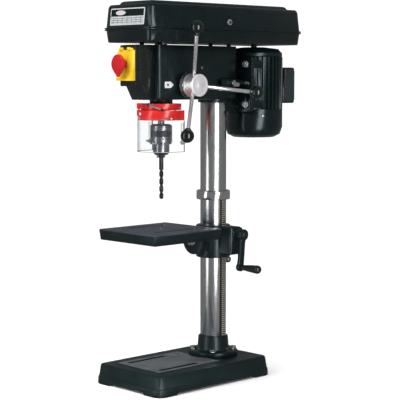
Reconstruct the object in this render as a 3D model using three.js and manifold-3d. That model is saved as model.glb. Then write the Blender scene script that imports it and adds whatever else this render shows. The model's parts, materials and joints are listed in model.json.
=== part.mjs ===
// Bench drill press with a round column, a rack-and-worm table lift and a hinged belt guard.
// Units are millimetres, +Z is up, -Y is the front, and the column stands on the Z axis.
import * as THREE from "three";
import { mergeVertices } from "three/addons/utils/BufferGeometryUtils.js";
import Module from "manifold-3d";

const wasm = await Module();
wasm.setup();

// ---------------------------------------------------------------- driving dimensions

const gap = 0.3; // between pieces that touch
const degree = Math.PI / 180;

const base = { halfWidth: 102.8, front: -261.3, rear: 75.2, height: 44.6, draft: 7.1, wall: 8, corner: 12 };
const skirtTop = 17;
const basePad = { halfWidth: 70, front: -232, rear: -50, height: 1.8 };
const baseSlot = { x: 53, front: -217, rear: -98, width: 12 };
const baseDrain = { x: -53, y: -66, radius: 6 };
const foot = { length: 50, archHeight: 6 };

const column = { radius: 30, wall: 3, bottom: 45.2, top: 742 };
const flange = { radius: 57, bottom: 44.9, top: 57, collarTop: 90, boltCircle: 46.5, boltRadius: 4 };
const rackCollar = { radius: 39, bottom: 409, top: 430 };

const toothModule = 1.5;
const toothPitch = Math.PI * toothModule;
const pressureAngle = 20 * degree;
const rackAddendum = 1.1;
const dedendum = 1.9;
const rackWidth = 13;
const rackPitchX = 35.9; // rack pitch line from the column axis

const liftGear = { teeth: 13, width: 8, z: 314.25 };
const worm = { pitchRadius: 9, left: 41, right: 66, shaftRadius: 6, shaftRight: 100.5 };
const crank = { left: 82, right: 101.5, hubRadius: 13, armRadius: 8.5 };
const crankTip = { left: 95.8, right: 104, radius: 9.5 };
const crankEnd = { y: -12.5, z: -72.5 }; // handle pin from the crank shaft
const grip = { left: 104.6, right: 163, rootRadius: 5.6, endRadius: 9.8, pinRadius: 4 };

const table = { halfWidth: 94.5, front: -266.5, rear: -64, top: 352, thickness: 24, plate: 9, corner: 4 };
const tableSlot = { x: 50, front: -231, rear: -100, width: 12 };
const tilt = { z: 317, discRadius: 32, face: -54, discWidth: 12, boltRadius: 5 };
const bracket = { radius: 40, bottom: 275, top: 350 };
const gearBox = { left: 10, right: 76, halfDepth: 18, bottom: 286, top: 349 };
const lockLever = { y: 51, z: 307, length: 58 };

const head = { halfWidth: 42, front: -206, rear: 36, bottom: 640, top: 760, corner: 7, wall: 7.5 };
const spindleY = -162;
const nose = { radius: 25.5, bottom: 632 };
const columnBoss = { radius: 35.5, bottom: 632.5 };

const quill = { radius: 21, bottom: 612, top: 742, rackBottom: 648, rackTop: 738 };
const spindle = { radius: 7.5, bottom: 566, shoulder: 742, top: 838, splineRadius: 6 };
const bearing = { radius: 17.5, height: 12 };

const pinion = { teeth: 18, width: 18 };
const pinionRadius = (pinion.teeth * toothModule) / 2;
const quillPitchRadius = 19.4; // rack line cut into the back of the quill
const feed = { y: spindleY + quillPitchRadius + pinionRadius, z: 672, shaftRadius: 8 };
const feedHub = { left: 54, right: 87, journalRadius: 16, leftRadius: 26, rightRadius: 22.5 };
const hubCap = { left: feedHub.right + gap, right: 91.5, radius: 24.6 };
const feedRod = { rootX: 69.9, root: 12, radius: 4.3, tilt: 26.3 * degree, phase: -7 * degree };
const feedBall = { radius: 14.7, neckRadius: 8, distance: 149.6 };
const dial = { radius: 28.5, left: 54, width: 5.5 };
const springCup = { left: -72, right: -50.4, radius: 27, wall: 3 };

const chuck = { bodyRadius: 18.35, top: 586, bottom: 517.5 };
const chuckSleeve = { radius: 24.6, top: 571, bottom: 541.5 };
const keyHole = { radius: 2.75, z: 533 };
const jaw = { radius: 3, bottom: 511, top: 535, travel: 8, slant: 11 * degree };
const jawNose = { radius: 7.9, z: 513.5 };
const bit = { radius: 5, tip: 418, fluteTop: 492, shankTop: 560, lead: 33 };

const guardCollar = { radius: 45, bottom: 617.5, top: 631.5 };
const guardBand = { radius: 51.5, thickness: 2.5, bottom: 595, top: 617, sideLength: 23 };
const guardShield = { thickness: 1.8, bottom: 525, top: 601 };
const shieldSlot = { y: 12, width: 4.5, bottom: 541, top: 590 };
const guardPin = { x: -75, radius: 2, armBottom: 602 };

const guardRim = { halfWidth: 83.6, front: -266, rear: 221, corner: 22 };
const pan = { bottom: 765, lip: 790.4, top: 793.4, wall: 2.5 };
const lid = { bottom: 794.2, rimTop: 797.4, shoulder: 847, top: 855 };
const lidHinge = { x: -86.5, z: 793.8, radius: 3.5, pinRadius: 1.6, room: 4.2, halfLength: 12 };
const lidHingePlaces = [-190, 150];

const motorY = 134;
const motor = { radius: 68, bore: 54, finBottom: 615.2, finTop: 736.8, bellTop: 760 };
const motorFins = { count: 36, rootRadius: 62 };
const fanCover = { bottom: 547, wall: 2, grilleRadius: 42, grilleBar: 6, grillePitch: 14 };
const motorShaft = { radius: 7, bottom: 566, top: 834 };
const plate = { halfWidth: 70, front: 55, rear: 63, bottom: 610, top: 738 };
const motorBolt = { x: 50.5, zs: [627.5, 719.7], radius: 4.4 };
const slideBar = { x: 41, z: 678, radius: 6.5, front: -12 };
const capacitor = { halfWidth: 38, front: 202, rear: 240, bottom: 628, top: 713, corner: 9 };

const pulleyBottom = 772;
const pulleyStep = 13;
const spindleSteps = [62, 52, 42, 32];
const motorSteps = [30, 40, 50, 60];
const beltStep = 1; // the pair of steps that the belt runs on

const switchBox = { halfWidth: 28, front: -247, rear: head.front - gap, shoulder: 683, toe: -223, wall: 3 };
const switchPlate = { halfWidth: 26, front: -259, bottom: 670, top: 759 };
const flap = { halfWidth: 25.5, bottom: 682, top: 748, back: -260, topFront: -264.5, bottomFront: -271 };
const flapHinge = { y: -263, z: 749.5, radius: 3 };
const paddle = { radius: 21, z: 718, tailZ: 695, tailRadius: 5, back: -282, front: -290, stemRadius: 8 };
const startButton = { radius: 7, z: 697, front: -263 };

// ---------------------------------------------------------------- finishes

const finishes = {
  paint: [0x17211f, 0.4, 0.2],
  groundIron: [0x4a4d54, 0.45, 0.8],
  steel: [0xb9bdc2, 0.28, 1],
  darkSteel: [0x55585c, 0.4, 1],
  chrome: [0xdadde0, 0.12, 1],
  aluminium: [0xc9c7c9, 0.45, 0.7],
  redPaint: [0xd42020, 0.35, 0.1],
  yellowPlastic: [0xfbd52a, 0.4, 0],
  redPlastic: [0xcf2028, 0.4, 0],
  greenPlastic: [0x1d8a3e, 0.4, 0],
  blackPlastic: [0x141a19, 0.3, 0],
  rubber: [0x1a1a1a, 0.85, 0],
  clearPlastic: [0xdde8f2, 0.08, 0],
};

function finish(name) {
  const [color, roughness, metalness] = finishes[name];
  return new THREE.MeshStandardMaterial({ name, color, roughness, metalness });
}

function part(name, geometry, finishName) {
  const mesh = new THREE.Mesh(geometry, finish(finishName));
  mesh.name = name;
  return mesh;
}

function groupAt(x, y, z, ...children) {
  const group = new THREE.Group();
  group.position.set(x, y, z);
  group.add(...children);
  return group;
}

// ---------------------------------------------------------------- solids

function toSolid(geometry) {
  const bare = geometry.clone();
  bare.deleteAttribute("normal");
  bare.deleteAttribute("uv");
  const merged = mergeVertices(bare, 1e-4);
  const triVerts = [];
  for (let i = 0; i < merged.index.count; i += 3) {
    const [a, b, c] = [0, 1, 2].map((k) => merged.index.getX(i + k));
    if (a !== b && b !== c && c !== a) {
      triVerts.push(a, b, c);
    }
  }
  const vertProperties = new Float32Array(merged.attributes.position.array);
  const mesh = new wasm.Mesh({ numProp: 3, vertProperties, triVerts: new Uint32Array(triVerts) });
  return new wasm.Manifold(mesh);
}

function toGeometry(solid) {
  const mesh = solid.getMesh();
  const geometry = new THREE.BufferGeometry();
  geometry.setAttribute("position", new THREE.BufferAttribute(mesh.vertProperties, 3));
  geometry.setIndex(new THREE.BufferAttribute(mesh.triVerts, 1));
  geometry.computeVertexNormals();
  return geometry;
}

function join(...geometries) {
  return toGeometry(geometries.map(toSolid).reduce((whole, piece) => whole.add(piece)));
}

function cut(geometry, ...tools) {
  return toGeometry(tools.map(toSolid).reduce((rest, tool) => rest.subtract(tool), toSolid(geometry)));
}

function slab([x0, x1], [y0, y1], [z0, z1]) {
  const geometry = new THREE.BoxGeometry(x1 - x0, y1 - y0, z1 - z0);
  return geometry.translate((x0 + x1) / 2, (y0 + y1) / 2, (z0 + z1) / 2);
}

// How many flats stand for a round of a given radius.
function facets(radius) {
  if (radius > 24) {
    return 24;
  }
  if (radius > 12) {
    return 18;
  }
  return radius > 6 ? 14 : 10;
}

// A straight round bar between two points.
function bar(radius, from, to, segments = facets(radius)) {
  const start = new THREE.Vector3(...from);
  const along = new THREE.Vector3(...to).sub(start);
  const geometry = new THREE.CylinderGeometry(radius, radius, along.length(), segments);
  const direction = along.clone().normalize();
  geometry.applyQuaternion(new THREE.Quaternion().setFromUnitVectors(new THREE.Vector3(0, 1, 0), direction));
  return geometry.translate(...start.addScaledVector(along, 0.5));
}

// A profile of [radius, height] points, turned about Z; its outside runs upwards.
function turned(profile, segments = facets(Math.max(...profile.map(([radius]) => radius)))) {
  const points = profile.map(([radius, height]) => new THREE.Vector2(radius, height));
  return new THREE.LatheGeometry(points, segments).rotateX(Math.PI / 2);
}

function ring(inner, outer, bottom, top) {
  return turned([[inner, bottom], [outer, bottom], [outer, top], [inner, top], [inner, bottom]]);
}

// The same, turned about the X or the Y axis; height runs along +X or +Y.
const alongX = (geometry) => geometry.rotateY(Math.PI / 2);
const alongY = (geometry) => geometry.rotateX(-Math.PI / 2);

function roundedRect([x0, x1], [y0, y1], radius, steps = 2) {
  const centres = [
    [x1 - radius, y1 - radius],
    [x0 + radius, y1 - radius],
    [x0 + radius, y0 + radius],
    [x1 - radius, y0 + radius],
  ];
  return centres.flatMap(([x, y], quarter) =>
    Array.from({ length: steps + 1 }, (_, i) => {
      const angle = ((quarter + i / steps) * Math.PI) / 2;
      return new THREE.Vector2(x + radius * Math.cos(angle), y + radius * Math.sin(angle));
    }),
  );
}

// Skins a stack of { z, outline } sections whose outlines run anticlockwise and match point for point.
function loft(sections) {
  const size = sections[0].outline.length;
  const index = [];
  for (let level = 0; level + 1 < sections.length; level += 1) {
    for (let i = 0; i < size; i += 1) {
      const a = level * size + i;
      const b = level * size + ((i + 1) % size);
      index.push(a, b, b + size, a, b + size, a + size);
    }
  }
  const top = (sections.length - 1) * size;
  for (const [a, b, c] of THREE.ShapeUtils.triangulateShape(sections[0].outline, [])) {
    index.push(a, c, b, top + a, top + b, top + c);
  }
  const positions = sections.flatMap(({ z, outline }) => outline.flatMap((point) => [point.x, point.y, z]));
  const geometry = new THREE.BufferGeometry();
  geometry.setAttribute("position", new THREE.Float32BufferAttribute(positions, 3));
  geometry.setIndex(index);
  return geometry;
}

// A loft of one rounded rectangle; each level is [z, growth of the outline].
function drafted({ xs, ys, corner }, levels) {
  return loft(levels.map(([z, grow]) => {
    const radius = Math.max(corner + grow, 0.5);
    return { z, outline: roundedRect([xs[0] - grow, xs[1] + grow], [ys[0] - grow, ys[1] + grow], radius) };
  }));
}

function extruded(shape, depth, curveSegments = 12) {
  return new THREE.ExtrudeGeometry(shape, { depth, bevelEnabled: false, curveSegments });
}

// An outline in the YZ plane, extruded along X from left to right.
function sidePlate(points, left, right) {
  const shape = new THREE.Shape(points.map(([y, z]) => new THREE.Vector2(y, z)));
  return extruded(shape, right - left).rotateX(Math.PI / 2).rotateZ(Math.PI / 2).translate(left, 0, 0);
}

// Two circles of different radius joined by their tangents, the second one at (length, 0).
function taperedCapsule(length, radius1, radius2, hole = false) {
  const tangent = Math.acos((radius1 - radius2) / length);
  const path = hole ? new THREE.Path() : new THREE.Shape();
  path.absarc(0, 0, radius1, tangent, 2 * Math.PI - tangent, false);
  path.absarc(length, 0, radius2, -tangent, tangent, false);
  path.closePath();
  return path;
}

// A vertical slot cutter: a stadium along Y.
function slotCutter(x, front, rear, width, z0, z1) {
  const radius = width / 2;
  const shape = taperedCapsule(rear - front - width, radius, radius);
  return extruded(shape, z1 - z0, 8).rotateZ(Math.PI / 2).translate(x, front + radius, z0);
}

function hexBolt(acrossFlats, headHeight, washerRadius, shankRadius, shankLength) {
  const washerHeight = 1.5;
  const hexRadius = acrossFlats / Math.sqrt(3);
  return join(
    bar(washerRadius, [0, 0, 0], [0, 0, washerHeight]),
    bar(hexRadius, [0, 0, washerHeight - 0.1], [0, 0, washerHeight + headHeight], 6),
    bar(shankRadius, [0, 0, -shankLength], [0, 0, washerHeight + 0.5]),
  );
}

// ---------------------------------------------------------------- gear teeth

const involute = (angle) => Math.tan(angle) - angle;

// Half the angle that a tooth fills at a radius.
function toothHalfAngle(teeth, radius, backlash) {
  const pitchRadius = (teeth * toothModule) / 2;
  const baseRadius = pitchRadius * Math.cos(pressureAngle);
  const flank = radius > baseRadius ? involute(Math.acos(baseRadius / radius)) : 0;
  return Math.PI / (2 * teeth) + involute(pressureAngle) - flank - backlash / (2 * pitchRadius);
}

// A spur gear about Z with one tooth centred on the angle given.
function gearShape(teeth, firstAngle, backlash = 0.1) {
  const pitchRadius = (teeth * toothModule) / 2;
  const baseRadius = pitchRadius * Math.cos(pressureAngle);
  const radii = [pitchRadius - dedendum, baseRadius, pitchRadius, pitchRadius + 0.9 * toothModule];
  const points = [];
  for (let tooth = 0; tooth < teeth; tooth += 1) {
    const centre = firstAngle + (tooth * 2 * Math.PI) / teeth;
    const halves = radii.map((radius) => [radius, toothHalfAngle(teeth, radius, backlash)]);
    const left = halves.map(([radius, half]) => [radius, centre - half]);
    const right = halves.map(([radius, half]) => [radius, centre + half]).reverse();
    for (const [radius, angle] of [...left, ...right]) {
      points.push(new THREE.Vector2(radius * Math.cos(angle), radius * Math.sin(angle)));
    }
  }
  return new THREE.Shape(points);
}

// Straight rack teeth as [across, along] points, with one space centred on spaceAt.
function rackTeeth(pitchLine, outward, spaceAt, from, to) {
  const half = toothPitch / 4 - 0.08;
  const rootHalf = half + dedendum * Math.tan(pressureAngle);
  const tipHalf = half - rackAddendum * Math.tan(pressureAngle);
  const root = pitchLine - outward * dedendum;
  const tip = pitchLine + outward * rackAddendum;
  const first = Math.ceil((from + rootHalf - spaceAt) / toothPitch - 0.5);
  const last = Math.floor((to - rootHalf - spaceAt) / toothPitch - 0.5);
  const points = [];
  for (let tooth = first; tooth <= last; tooth += 1) {
    const centre = spaceAt + (tooth + 0.5) * toothPitch;
    points.push([root, centre - rootHalf], [tip, centre - tipHalf]);
    points.push([tip, centre + tipHalf], [root, centre + rootHalf]);
  }
  return points;
}

// One helical thread about Z with a rack tooth as its section; threadAt is where it crosses angle 0.
function wormThread(rootRadius, pitchRadius, from, to, threadAt, slack) {
  const stepsPerTurn = 12;
  const half = toothPitch / 4 - slack;
  const rootHalf = half + (pitchRadius - rootRadius) * Math.tan(pressureAngle);
  const tipHalf = half - rackAddendum * Math.tan(pressureAngle);
  const [inner, outer] = [rootRadius - 1, pitchRadius + rackAddendum];
  const section = [[inner, -rootHalf], [outer, -tipHalf], [outer, tipHalf], [inner, rootHalf]];
  const firstTurn = Math.ceil((from + rootHalf - threadAt) / toothPitch);
  const lastTurn = Math.floor((to - rootHalf - threadAt) / toothPitch);
  const steps = (lastTurn - firstTurn) * stepsPerTurn;
  const positions = [];
  const index = [];
  for (let step = 0; step <= steps; step += 1) {
    const angle = (step / stepsPerTurn) * 2 * Math.PI;
    const height = threadAt + (firstTurn + step / stepsPerTurn) * toothPitch;
    for (const [radius, offset] of section) {
      positions.push(radius * Math.cos(angle), radius * Math.sin(angle), height + offset);
    }
    if (step < steps) {
      for (let side = 0; side < 4; side += 1) {
        const a = step * 4 + side;
        const b = step * 4 + ((side + 1) % 4);
        index.push(a, a + 4, b, b, a + 4, b + 4);
      }
    }
  }
  const end = steps * 4;
  index.push(0, 1, 2, 0, 2, 3, end, end + 2, end + 1, end, end + 3, end + 2);
  const geometry = new THREE.BufferGeometry();
  geometry.setAttribute("position", new THREE.Float32BufferAttribute(positions, 3));
  geometry.setIndex(index);
  return geometry;
}

// ---------------------------------------------------------------- base and column

const flangeBoltPlaces = [45, 135, 225, 315].map((angle) => [
  flange.boltCircle * Math.cos(angle * degree),
  flange.boltCircle * Math.sin(angle * degree),
]);

function makeBase() {
  const rim = { xs: [-base.halfWidth, base.halfWidth], ys: [base.front, base.rear], corner: base.corner };
  const body = drafted(rim, [
    [0, base.draft],
    [skirtTop, base.draft - 1],
    [skirtTop + 1.2, base.draft - 2.8],
    [base.height - 2, 0.4],
    [base.height, -1.6],
  ]);
  const hollow = drafted(rim, [[-1, -0.6], [base.height - base.wall, -base.wall + 0.5]]);
  const top = basePad.height + base.height;
  const padPlate = cut(
    slab([-basePad.halfWidth, basePad.halfWidth], [basePad.front, basePad.rear], [base.height - 1, top]),
    bar(flange.radius + 3, [0, 0, 0], [0, 0, top + 1]),
  );
  const bosses = flangeBoltPlaces.map(([x, y]) => bar(9, [x, y, 24], [x, y, base.height - 1]));
  const archAcrossX = [
    [base.front - base.draft + foot.length, -1],
    [base.rear + base.draft - foot.length, -1],
    [base.rear + base.draft - foot.length - foot.archHeight, foot.archHeight],
    [base.front - base.draft + foot.length + foot.archHeight, foot.archHeight],
  ];
  const sideReach = base.halfWidth + base.draft - foot.length;
  const archAcrossY = [
    [-sideReach, -1],
    [sideReach, -1],
    [sideReach - foot.archHeight, foot.archHeight],
    [-sideReach + foot.archHeight, foot.archHeight],
  ];
  const archCutters = [
    sidePlate(archAcrossX, -base.halfWidth - 20, base.halfWidth + 20),
    sidePlate(archAcrossY, -base.rear - 20, -base.front + 20).rotateZ(-Math.PI / 2),
  ];
  const slots = [-baseSlot.x, baseSlot.x].map((x) =>
    slotCutter(x, baseSlot.front, baseSlot.rear, baseSlot.width, 20, top + 1));
  const drain = bar(baseDrain.radius, [baseDrain.x, baseDrain.y, 20], [baseDrain.x, baseDrain.y, top + 1]);
  const holeRadius = flange.boltRadius + 0.4;
  const boltHoles = flangeBoltPlaces.map(([x, y]) => bar(holeRadius, [x, y, 20], [x, y, top + 1]));
  return cut(join(cut(body, hollow), padPlate, ...bosses), ...archCutters, ...slots, drain, ...boltHoles);
}

function makeColumnFlange() {
  const bore = column.radius + gap;
  const body = turned([
    [bore, flange.bottom],
    [flange.radius, flange.bottom],
    [flange.radius, flange.top - 2],
    [flange.radius - 2, flange.top],
    [column.radius + 9, flange.top],
    [column.radius + 6.8, flange.top + 2.5],
    [column.radius + 4.8, flange.collarTop - 1.5],
    [column.radius + 3.5, flange.collarTop],
    [bore, flange.collarTop],
    [bore, flange.bottom],
  ]);
  const holes = flangeBoltPlaces.map(([x, y]) =>
    bar(flange.boltRadius + 0.4, [x, y, flange.bottom - 5], [x, y, flange.top + 5]));
  return cut(body, ...holes);
}

function makeRack() {
  const bottom = flange.collarTop + 0.4;
  const top = rackCollar.bottom - 0.4;
  const back = column.radius + gap;
  const teeth = rackTeeth(rackPitchX, 1, liftGear.z, bottom, top);
  const root = rackPitchX - dedendum;
  const outline = [[back, bottom], [root, bottom], ...teeth, [root, top], [back, top]];
  const shape = new THREE.Shape(outline.map(([x, z]) => new THREE.Vector2(x, z)));
  return extruded(shape, rackWidth).rotateX(Math.PI / 2).translate(0, rackWidth / 2, 0);
}

function columnPieces() {
  const bolts = flangeBoltPlaces.map(([x, y], i) => {
    const bolt = part(`flange_bolt_${i + 1}`, hexBolt(13, 5.3, 7.2, flange.boltRadius, 29), "chrome");
    bolt.position.set(x, y, flange.top + gap);
    return bolt;
  });
  const tube = ring(column.radius - column.wall, column.radius, column.bottom, column.top);
  const collar = turned([
    [column.radius + gap, rackCollar.bottom],
    [rackCollar.radius - 1, rackCollar.bottom],
    [rackCollar.radius, rackCollar.bottom + 1],
    [rackCollar.radius, rackCollar.top - 2],
    [rackCollar.radius - 2, rackCollar.top],
    [column.radius + gap, rackCollar.top],
    [column.radius + gap, rackCollar.bottom],
  ]);
  return groupAt(
    0, 0, 0,
    part("base", makeBase(), "paint"),
    part("column_flange", makeColumnFlange(), "paint"),
    ...bolts,
    part("column_tube", tube, "steel"),
    part("rack_collar", collar, "chrome"),
    part("rack", makeRack(), "darkSteel"),
  );
}

// ---------------------------------------------------------------- table and its lift

const gearPitchRadius = (liftGear.teeth * toothModule) / 2;
const gearX = rackPitchX + gearPitchRadius;
const wormZ = liftGear.z + gearPitchRadius + worm.pitchRadius;

function makeTableBracket() {
  const { radius, bottom, top } = bracket;
  const { halfDepth } = gearBox;
  const barrel = turned([
    [0, bottom], [radius - 2, bottom], [radius, bottom + 2], [radius, top - 2], [radius - 2, top], [0, top],
  ]);
  const box = drafted(
    { xs: [gearBox.left, gearBox.right], ys: [-halfDepth, halfDepth], corner: 6 },
    [[gearBox.bottom, -2], [gearBox.bottom + 2, 0], [gearBox.top - 2, 0], [gearBox.top, -2]],
  );
  const shaftBoss = bar(14, [gearBox.right - 2, 0, wormZ], [crank.left - 0.7, 0, wormZ]);
  const neck = slab([-25, 25], [tilt.face + 6, -20], [tilt.z - 25, tilt.z + 25]);
  const disc = bar(tilt.discRadius, [0, tilt.face + gap, tilt.z], [0, tilt.face + 10, tilt.z]);
  const lugs = slab([-17, 17], [20, lockLever.y + 11], [lockLever.z - 15, lockLever.z + 15]);
  const bore = bar(column.radius + gap, [0, 0, bottom - 5], [0, 0, gearBox.top + 5]);
  const grooveHalf = rackWidth / 2 + 0.7;
  const rackGroove = slab([20, 38.3], [-grooveHalf, grooveHalf], [bottom - 5, gearBox.top + 5]);
  const pocket = slab([38, 67.5], [-12, halfDepth + 5], [liftGear.z - 12.7, wormZ + 12]);
  const shaftBore = bar(worm.shaftRadius + gap, [60, 0, wormZ], [crank.left + 5, 0, wormZ]);
  const clampSplit = slab([-1.5, 1.5], [25, 70], [bottom - 5, top + 5]);
  const clampHole = bar(5 + gap, [-30, lockLever.y, lockLever.z], [30, lockLever.y, lockLever.z]);
  const boltHole = bar(tilt.boltRadius + gap, [0, tilt.face - 5, tilt.z], [0, -35, tilt.z]);
  return cut(
    join(barrel, box, shaftBoss, neck, disc, lugs),
    bore, rackGroove, pocket, shaftBore, clampSplit, clampHole, boltHole,
  );
}

function makeGearCover() {
  const inside = gearBox.halfDepth + gap;
  const lidPlate = slab([41, 74], [inside, inside + 3], [gearBox.bottom + 6, gearBox.top - 3]);
  return join(lidPlate, bar(3, [gearX, -8, liftGear.z], [gearX, inside + 1, liftGear.z]));
}

function makeLiftGear() {
  const shape = gearShape(liftGear.teeth, Math.PI);
  shape.holes.push(new THREE.Path().absarc(0, 0, 3 + gap, 0, 2 * Math.PI, true));
  return extruded(shape, liftGear.width).rotateX(Math.PI / 2).translate(0, liftGear.width / 2, 0);
}

function makeWormShaft() {
  const rootRadius = worm.pitchRadius - dedendum;
  const core = bar(rootRadius, [0, 0, worm.left], [0, 0, worm.right]);
  const shaft = bar(worm.shaftRadius, [0, 0, worm.right - 1], [0, 0, worm.shaftRight]);
  const threadAt = gearX + toothPitch / 4;
  const thread = wormThread(rootRadius, worm.pitchRadius, worm.left, worm.right, threadAt, 0.38);
  return alongX(join(core, shaft, thread));
}

// The arm leans outwards, so that it passes beside the table when it turns.
function makeCrankArm() {
  const { left, right, hubRadius, armRadius } = crank;
  const tip = crankTip;
  const { y, z } = crankEnd;
  const length = Math.hypot(y, z);
  const section = (distance, x0, x1, half) => {
    return { z: distance, outline: roundedRect([x0, x1], [-half, half], 2.5) };
  };
  const blade = loft([
    section(0, left + 8, right - 0.5, armRadius),
    section(0.25 * length, left + 8.5, right - 0.5, armRadius - 0.5),
    section(0.75 * length, tip.left + 0.3, tip.right - 0.5, armRadius),
    section(length, tip.left + 0.3, tip.right - 0.5, tip.radius - 0.5),
  ]).rotateX(Math.atan2(-y, z));
  const hub = bar(hubRadius, [left, 0, 0], [right, 0, 0]);
  const end = bar(tip.radius, [tip.left, y, z], [tip.right, y, z]);
  const pin = bar(grip.pinRadius, [tip.left + 1, y, z], [grip.right - 8, y, z]);
  const bore = bar(worm.shaftRadius + gap, [left - 5, 0, 0], [right + 5, 0, 0]);
  return cut(join(blade, hub, end, pin), bore);
}

function makeCrankGrip() {
  const bore = grip.pinRadius + gap;
  return alongX(turned([
    [bore, grip.left],
    [grip.rootRadius, grip.left],
    [grip.rootRadius + 0.6, grip.left + 4],
    [grip.endRadius - 1, grip.right - 18],
    [grip.endRadius, grip.right - 10],
    [grip.endRadius - 1, grip.right - 3],
    [grip.endRadius - 4, grip.right],
    [0, grip.right],
    [0, grip.right - 7],
    [bore, grip.right - 7],
    [bore, grip.left],
  ]));
}

function makeLockLever() {
  const screw = bar(5, [-33, 0, 0], [24, 0, 0]);
  const nut = bar(8.5, [18, 0, 0], [24, 0, 0], 6);
  const hub = bar(9, [-33, 0, 0], [-19, 0, 0]);
  const lean = 30 * degree;
  const end = [-32, lockLever.length * Math.sin(lean), -lockLever.length * Math.cos(lean)];
  const ball = new THREE.SphereGeometry(8, 12, 8).translate(...end);
  return join(screw, nut, hub, bar(4, [-27, 0, 0], end), ball);
}

function makeWorkTable() {
  const { halfWidth, front, rear, corner } = table;
  const outline = { xs: [-halfWidth, halfWidth], ys: [front, rear], corner };
  const underside = table.top - table.thickness;
  const top = drafted(outline, [[underside, -3.5], [table.top - 2, 0], [table.top, -1.5]]);
  const hollow = drafted(outline, [[underside - 1, -10], [table.top - table.plate, -9]]);
  const ribs = [
    slab([-4, 4], [front + 6, rear - 6], [underside + 3, table.top - 4]),
    slab([-halfWidth + 8, halfWidth - 8], [spindleY - 4, spindleY + 4], [underside + 3, table.top - 4]),
  ];
  const centreBoss = bar(17, [0, spindleY, underside + 1], [0, spindleY, table.top - 4]);
  const flangeFront = tilt.face - tilt.discWidth;
  const disc = bar(tilt.discRadius, [0, flangeFront, tilt.z], [0, tilt.face, tilt.z]);
  const web = slab([-22, 22], [flangeFront - 6, tilt.face - 4], [tilt.z + 12, table.top - 4]);
  const slots = [-tableSlot.x, tableSlot.x].map((x) =>
    slotCutter(x, tableSlot.front, tableSlot.rear, tableSlot.width, underside - 5, table.top + 1));
  const centreHole = bar(9, [0, spindleY, underside - 5], [0, spindleY, table.top + 1]);
  const boltHole = bar(tilt.boltRadius + gap, [0, flangeFront - 5, tilt.z], [0, tilt.face + 5, tilt.z]);
  const plain = join(cut(top, hollow), ...ribs, centreBoss, disc, web);
  return cut(plain, ...slots, centreHole, boltHole);
}

function tablePieces() {
  const tiltBolt = alongY(hexBolt(17, 9, 10.7, tilt.boltRadius, 29).rotateX(Math.PI));
  const bolt = part("tilt_bolt", tiltBolt, "chrome");
  bolt.position.set(0, tilt.face - tilt.discWidth - gap, tilt.z);
  const gear = part("lift_gear", makeLiftGear(), "darkSteel");
  gear.position.set(gearX, 0, liftGear.z);
  const handle = part("crank_grip", makeCrankGrip(), "blackPlastic");
  handle.position.set(0, crankEnd.y, crankEnd.z);
  const crankGroup = groupAt(
    0, 0, wormZ,
    part("worm_shaft", makeWormShaft(), "darkSteel"),
    part("crank_arm", makeCrankArm(), "paint"),
    handle,
  );
  const lever = part("bracket_lock_lever", makeLockLever(), "blackPlastic");
  lever.position.set(0, lockLever.y, lockLever.z);
  return groupAt(
    0, 0, 0,
    part("table_bracket", makeTableBracket(), "paint"),
    part("gear_cover", makeGearCover(), "paint"),
    gear, crankGroup, lever, bolt,
    part("work_table", makeWorkTable(), "groundIron"),
  );
}

// ---------------------------------------------------------------- head

function makeHeadCasting() {
  const outline = { xs: [-head.halfWidth, head.halfWidth], ys: [head.front, head.rear], corner: head.corner };
  const body = drafted(outline, [[head.bottom, -4], [head.bottom + 4, -0.8], [head.top, 0]]);
  const noseRing = bar(nose.radius, [0, spindleY, nose.bottom], [0, spindleY, head.bottom + 6]);
  const columnRing = bar(columnBoss.radius, [0, 0, columnBoss.bottom], [0, 0, head.bottom + 12]);
  const dialBoss = bar(24, [head.halfWidth - 3, feed.y, feed.z], [dial.left - 0.6, feed.y, feed.z]);
  const springBoss = bar(22, [springCup.right + 0.4, feed.y, feed.z], [-head.halfWidth + 3, feed.y, feed.z]);
  const slideBosses = [-slideBar.x, slideBar.x].map((x) =>
    bar(10.5, [x, slideBar.front - 10, slideBar.z], [x, head.rear - 2, slideBar.z]));
  const spacerPlaces = [[-30, -192], [30, -192], [-30, 20], [30, 20]];
  const spacers = spacerPlaces.map(([x, y]) => bar(5, [x, y, head.top - 2], [x, y, pan.bottom - gap]));

  const room = slab(
    [-head.halfWidth + head.wall, head.halfWidth - head.wall],
    [head.front + head.wall, -columnBoss.radius + 6],
    [head.bottom + 12, head.top + 1],
  );
  const kept = [
    bar(27, [0, spindleY, head.bottom], [0, spindleY, head.top + 2]),
    bar(columnBoss.radius, [0, 0, head.bottom], [0, 0, head.top + 2]),
    ...spacerPlaces.map(([x, y]) => bar(7, [x, y, head.bottom], [x, y, head.top + 2])),
  ];
  const quillBore = bar(quill.radius + gap, [0, spindleY, nose.bottom - 2], [0, spindleY, head.top + 5]);
  const columnBore = bar(column.radius + gap, [0, 0, columnBoss.bottom - 2], [0, 0, column.top + 3]);
  const shaftRoom = feed.shaftRadius + gap;
  const shaftBore = bar(shaftRoom, [springCup.right - 5, feed.y, feed.z], [dial.left + 5, feed.y, feed.z]);
  const pinionRoom = bar(pinionRadius + 2.2, [-10, feed.y, feed.z], [10, feed.y, feed.z]);
  const barBores = [-slideBar.x, slideBar.x].map((x) =>
    bar(slideBar.radius + gap, [x, slideBar.front - 11, slideBar.z], [x, head.rear + 4, slideBar.z]));
  const screwHole = bar(3.4, [slideBar.x, 10, slideBar.z], [60, 10, slideBar.z]);
  return cut(
    join(body, noseRing, columnRing, dialBoss, springBoss, ...slideBosses, ...spacers),
    cut(room, ...kept), quillBore, columnBore, shaftBore, pinionRoom, ...barBores, screwHole,
  );
}

function makeSpringHousing() {
  const { left, right, radius, wall } = springCup;
  return alongX(turned([
    [0, left],
    [radius - 3, left],
    [radius, left + 3],
    [radius, right],
    [radius - wall, right],
    [radius - wall, left + wall + 0.5],
    [0, left + wall + 0.5],
  ]));
}

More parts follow.
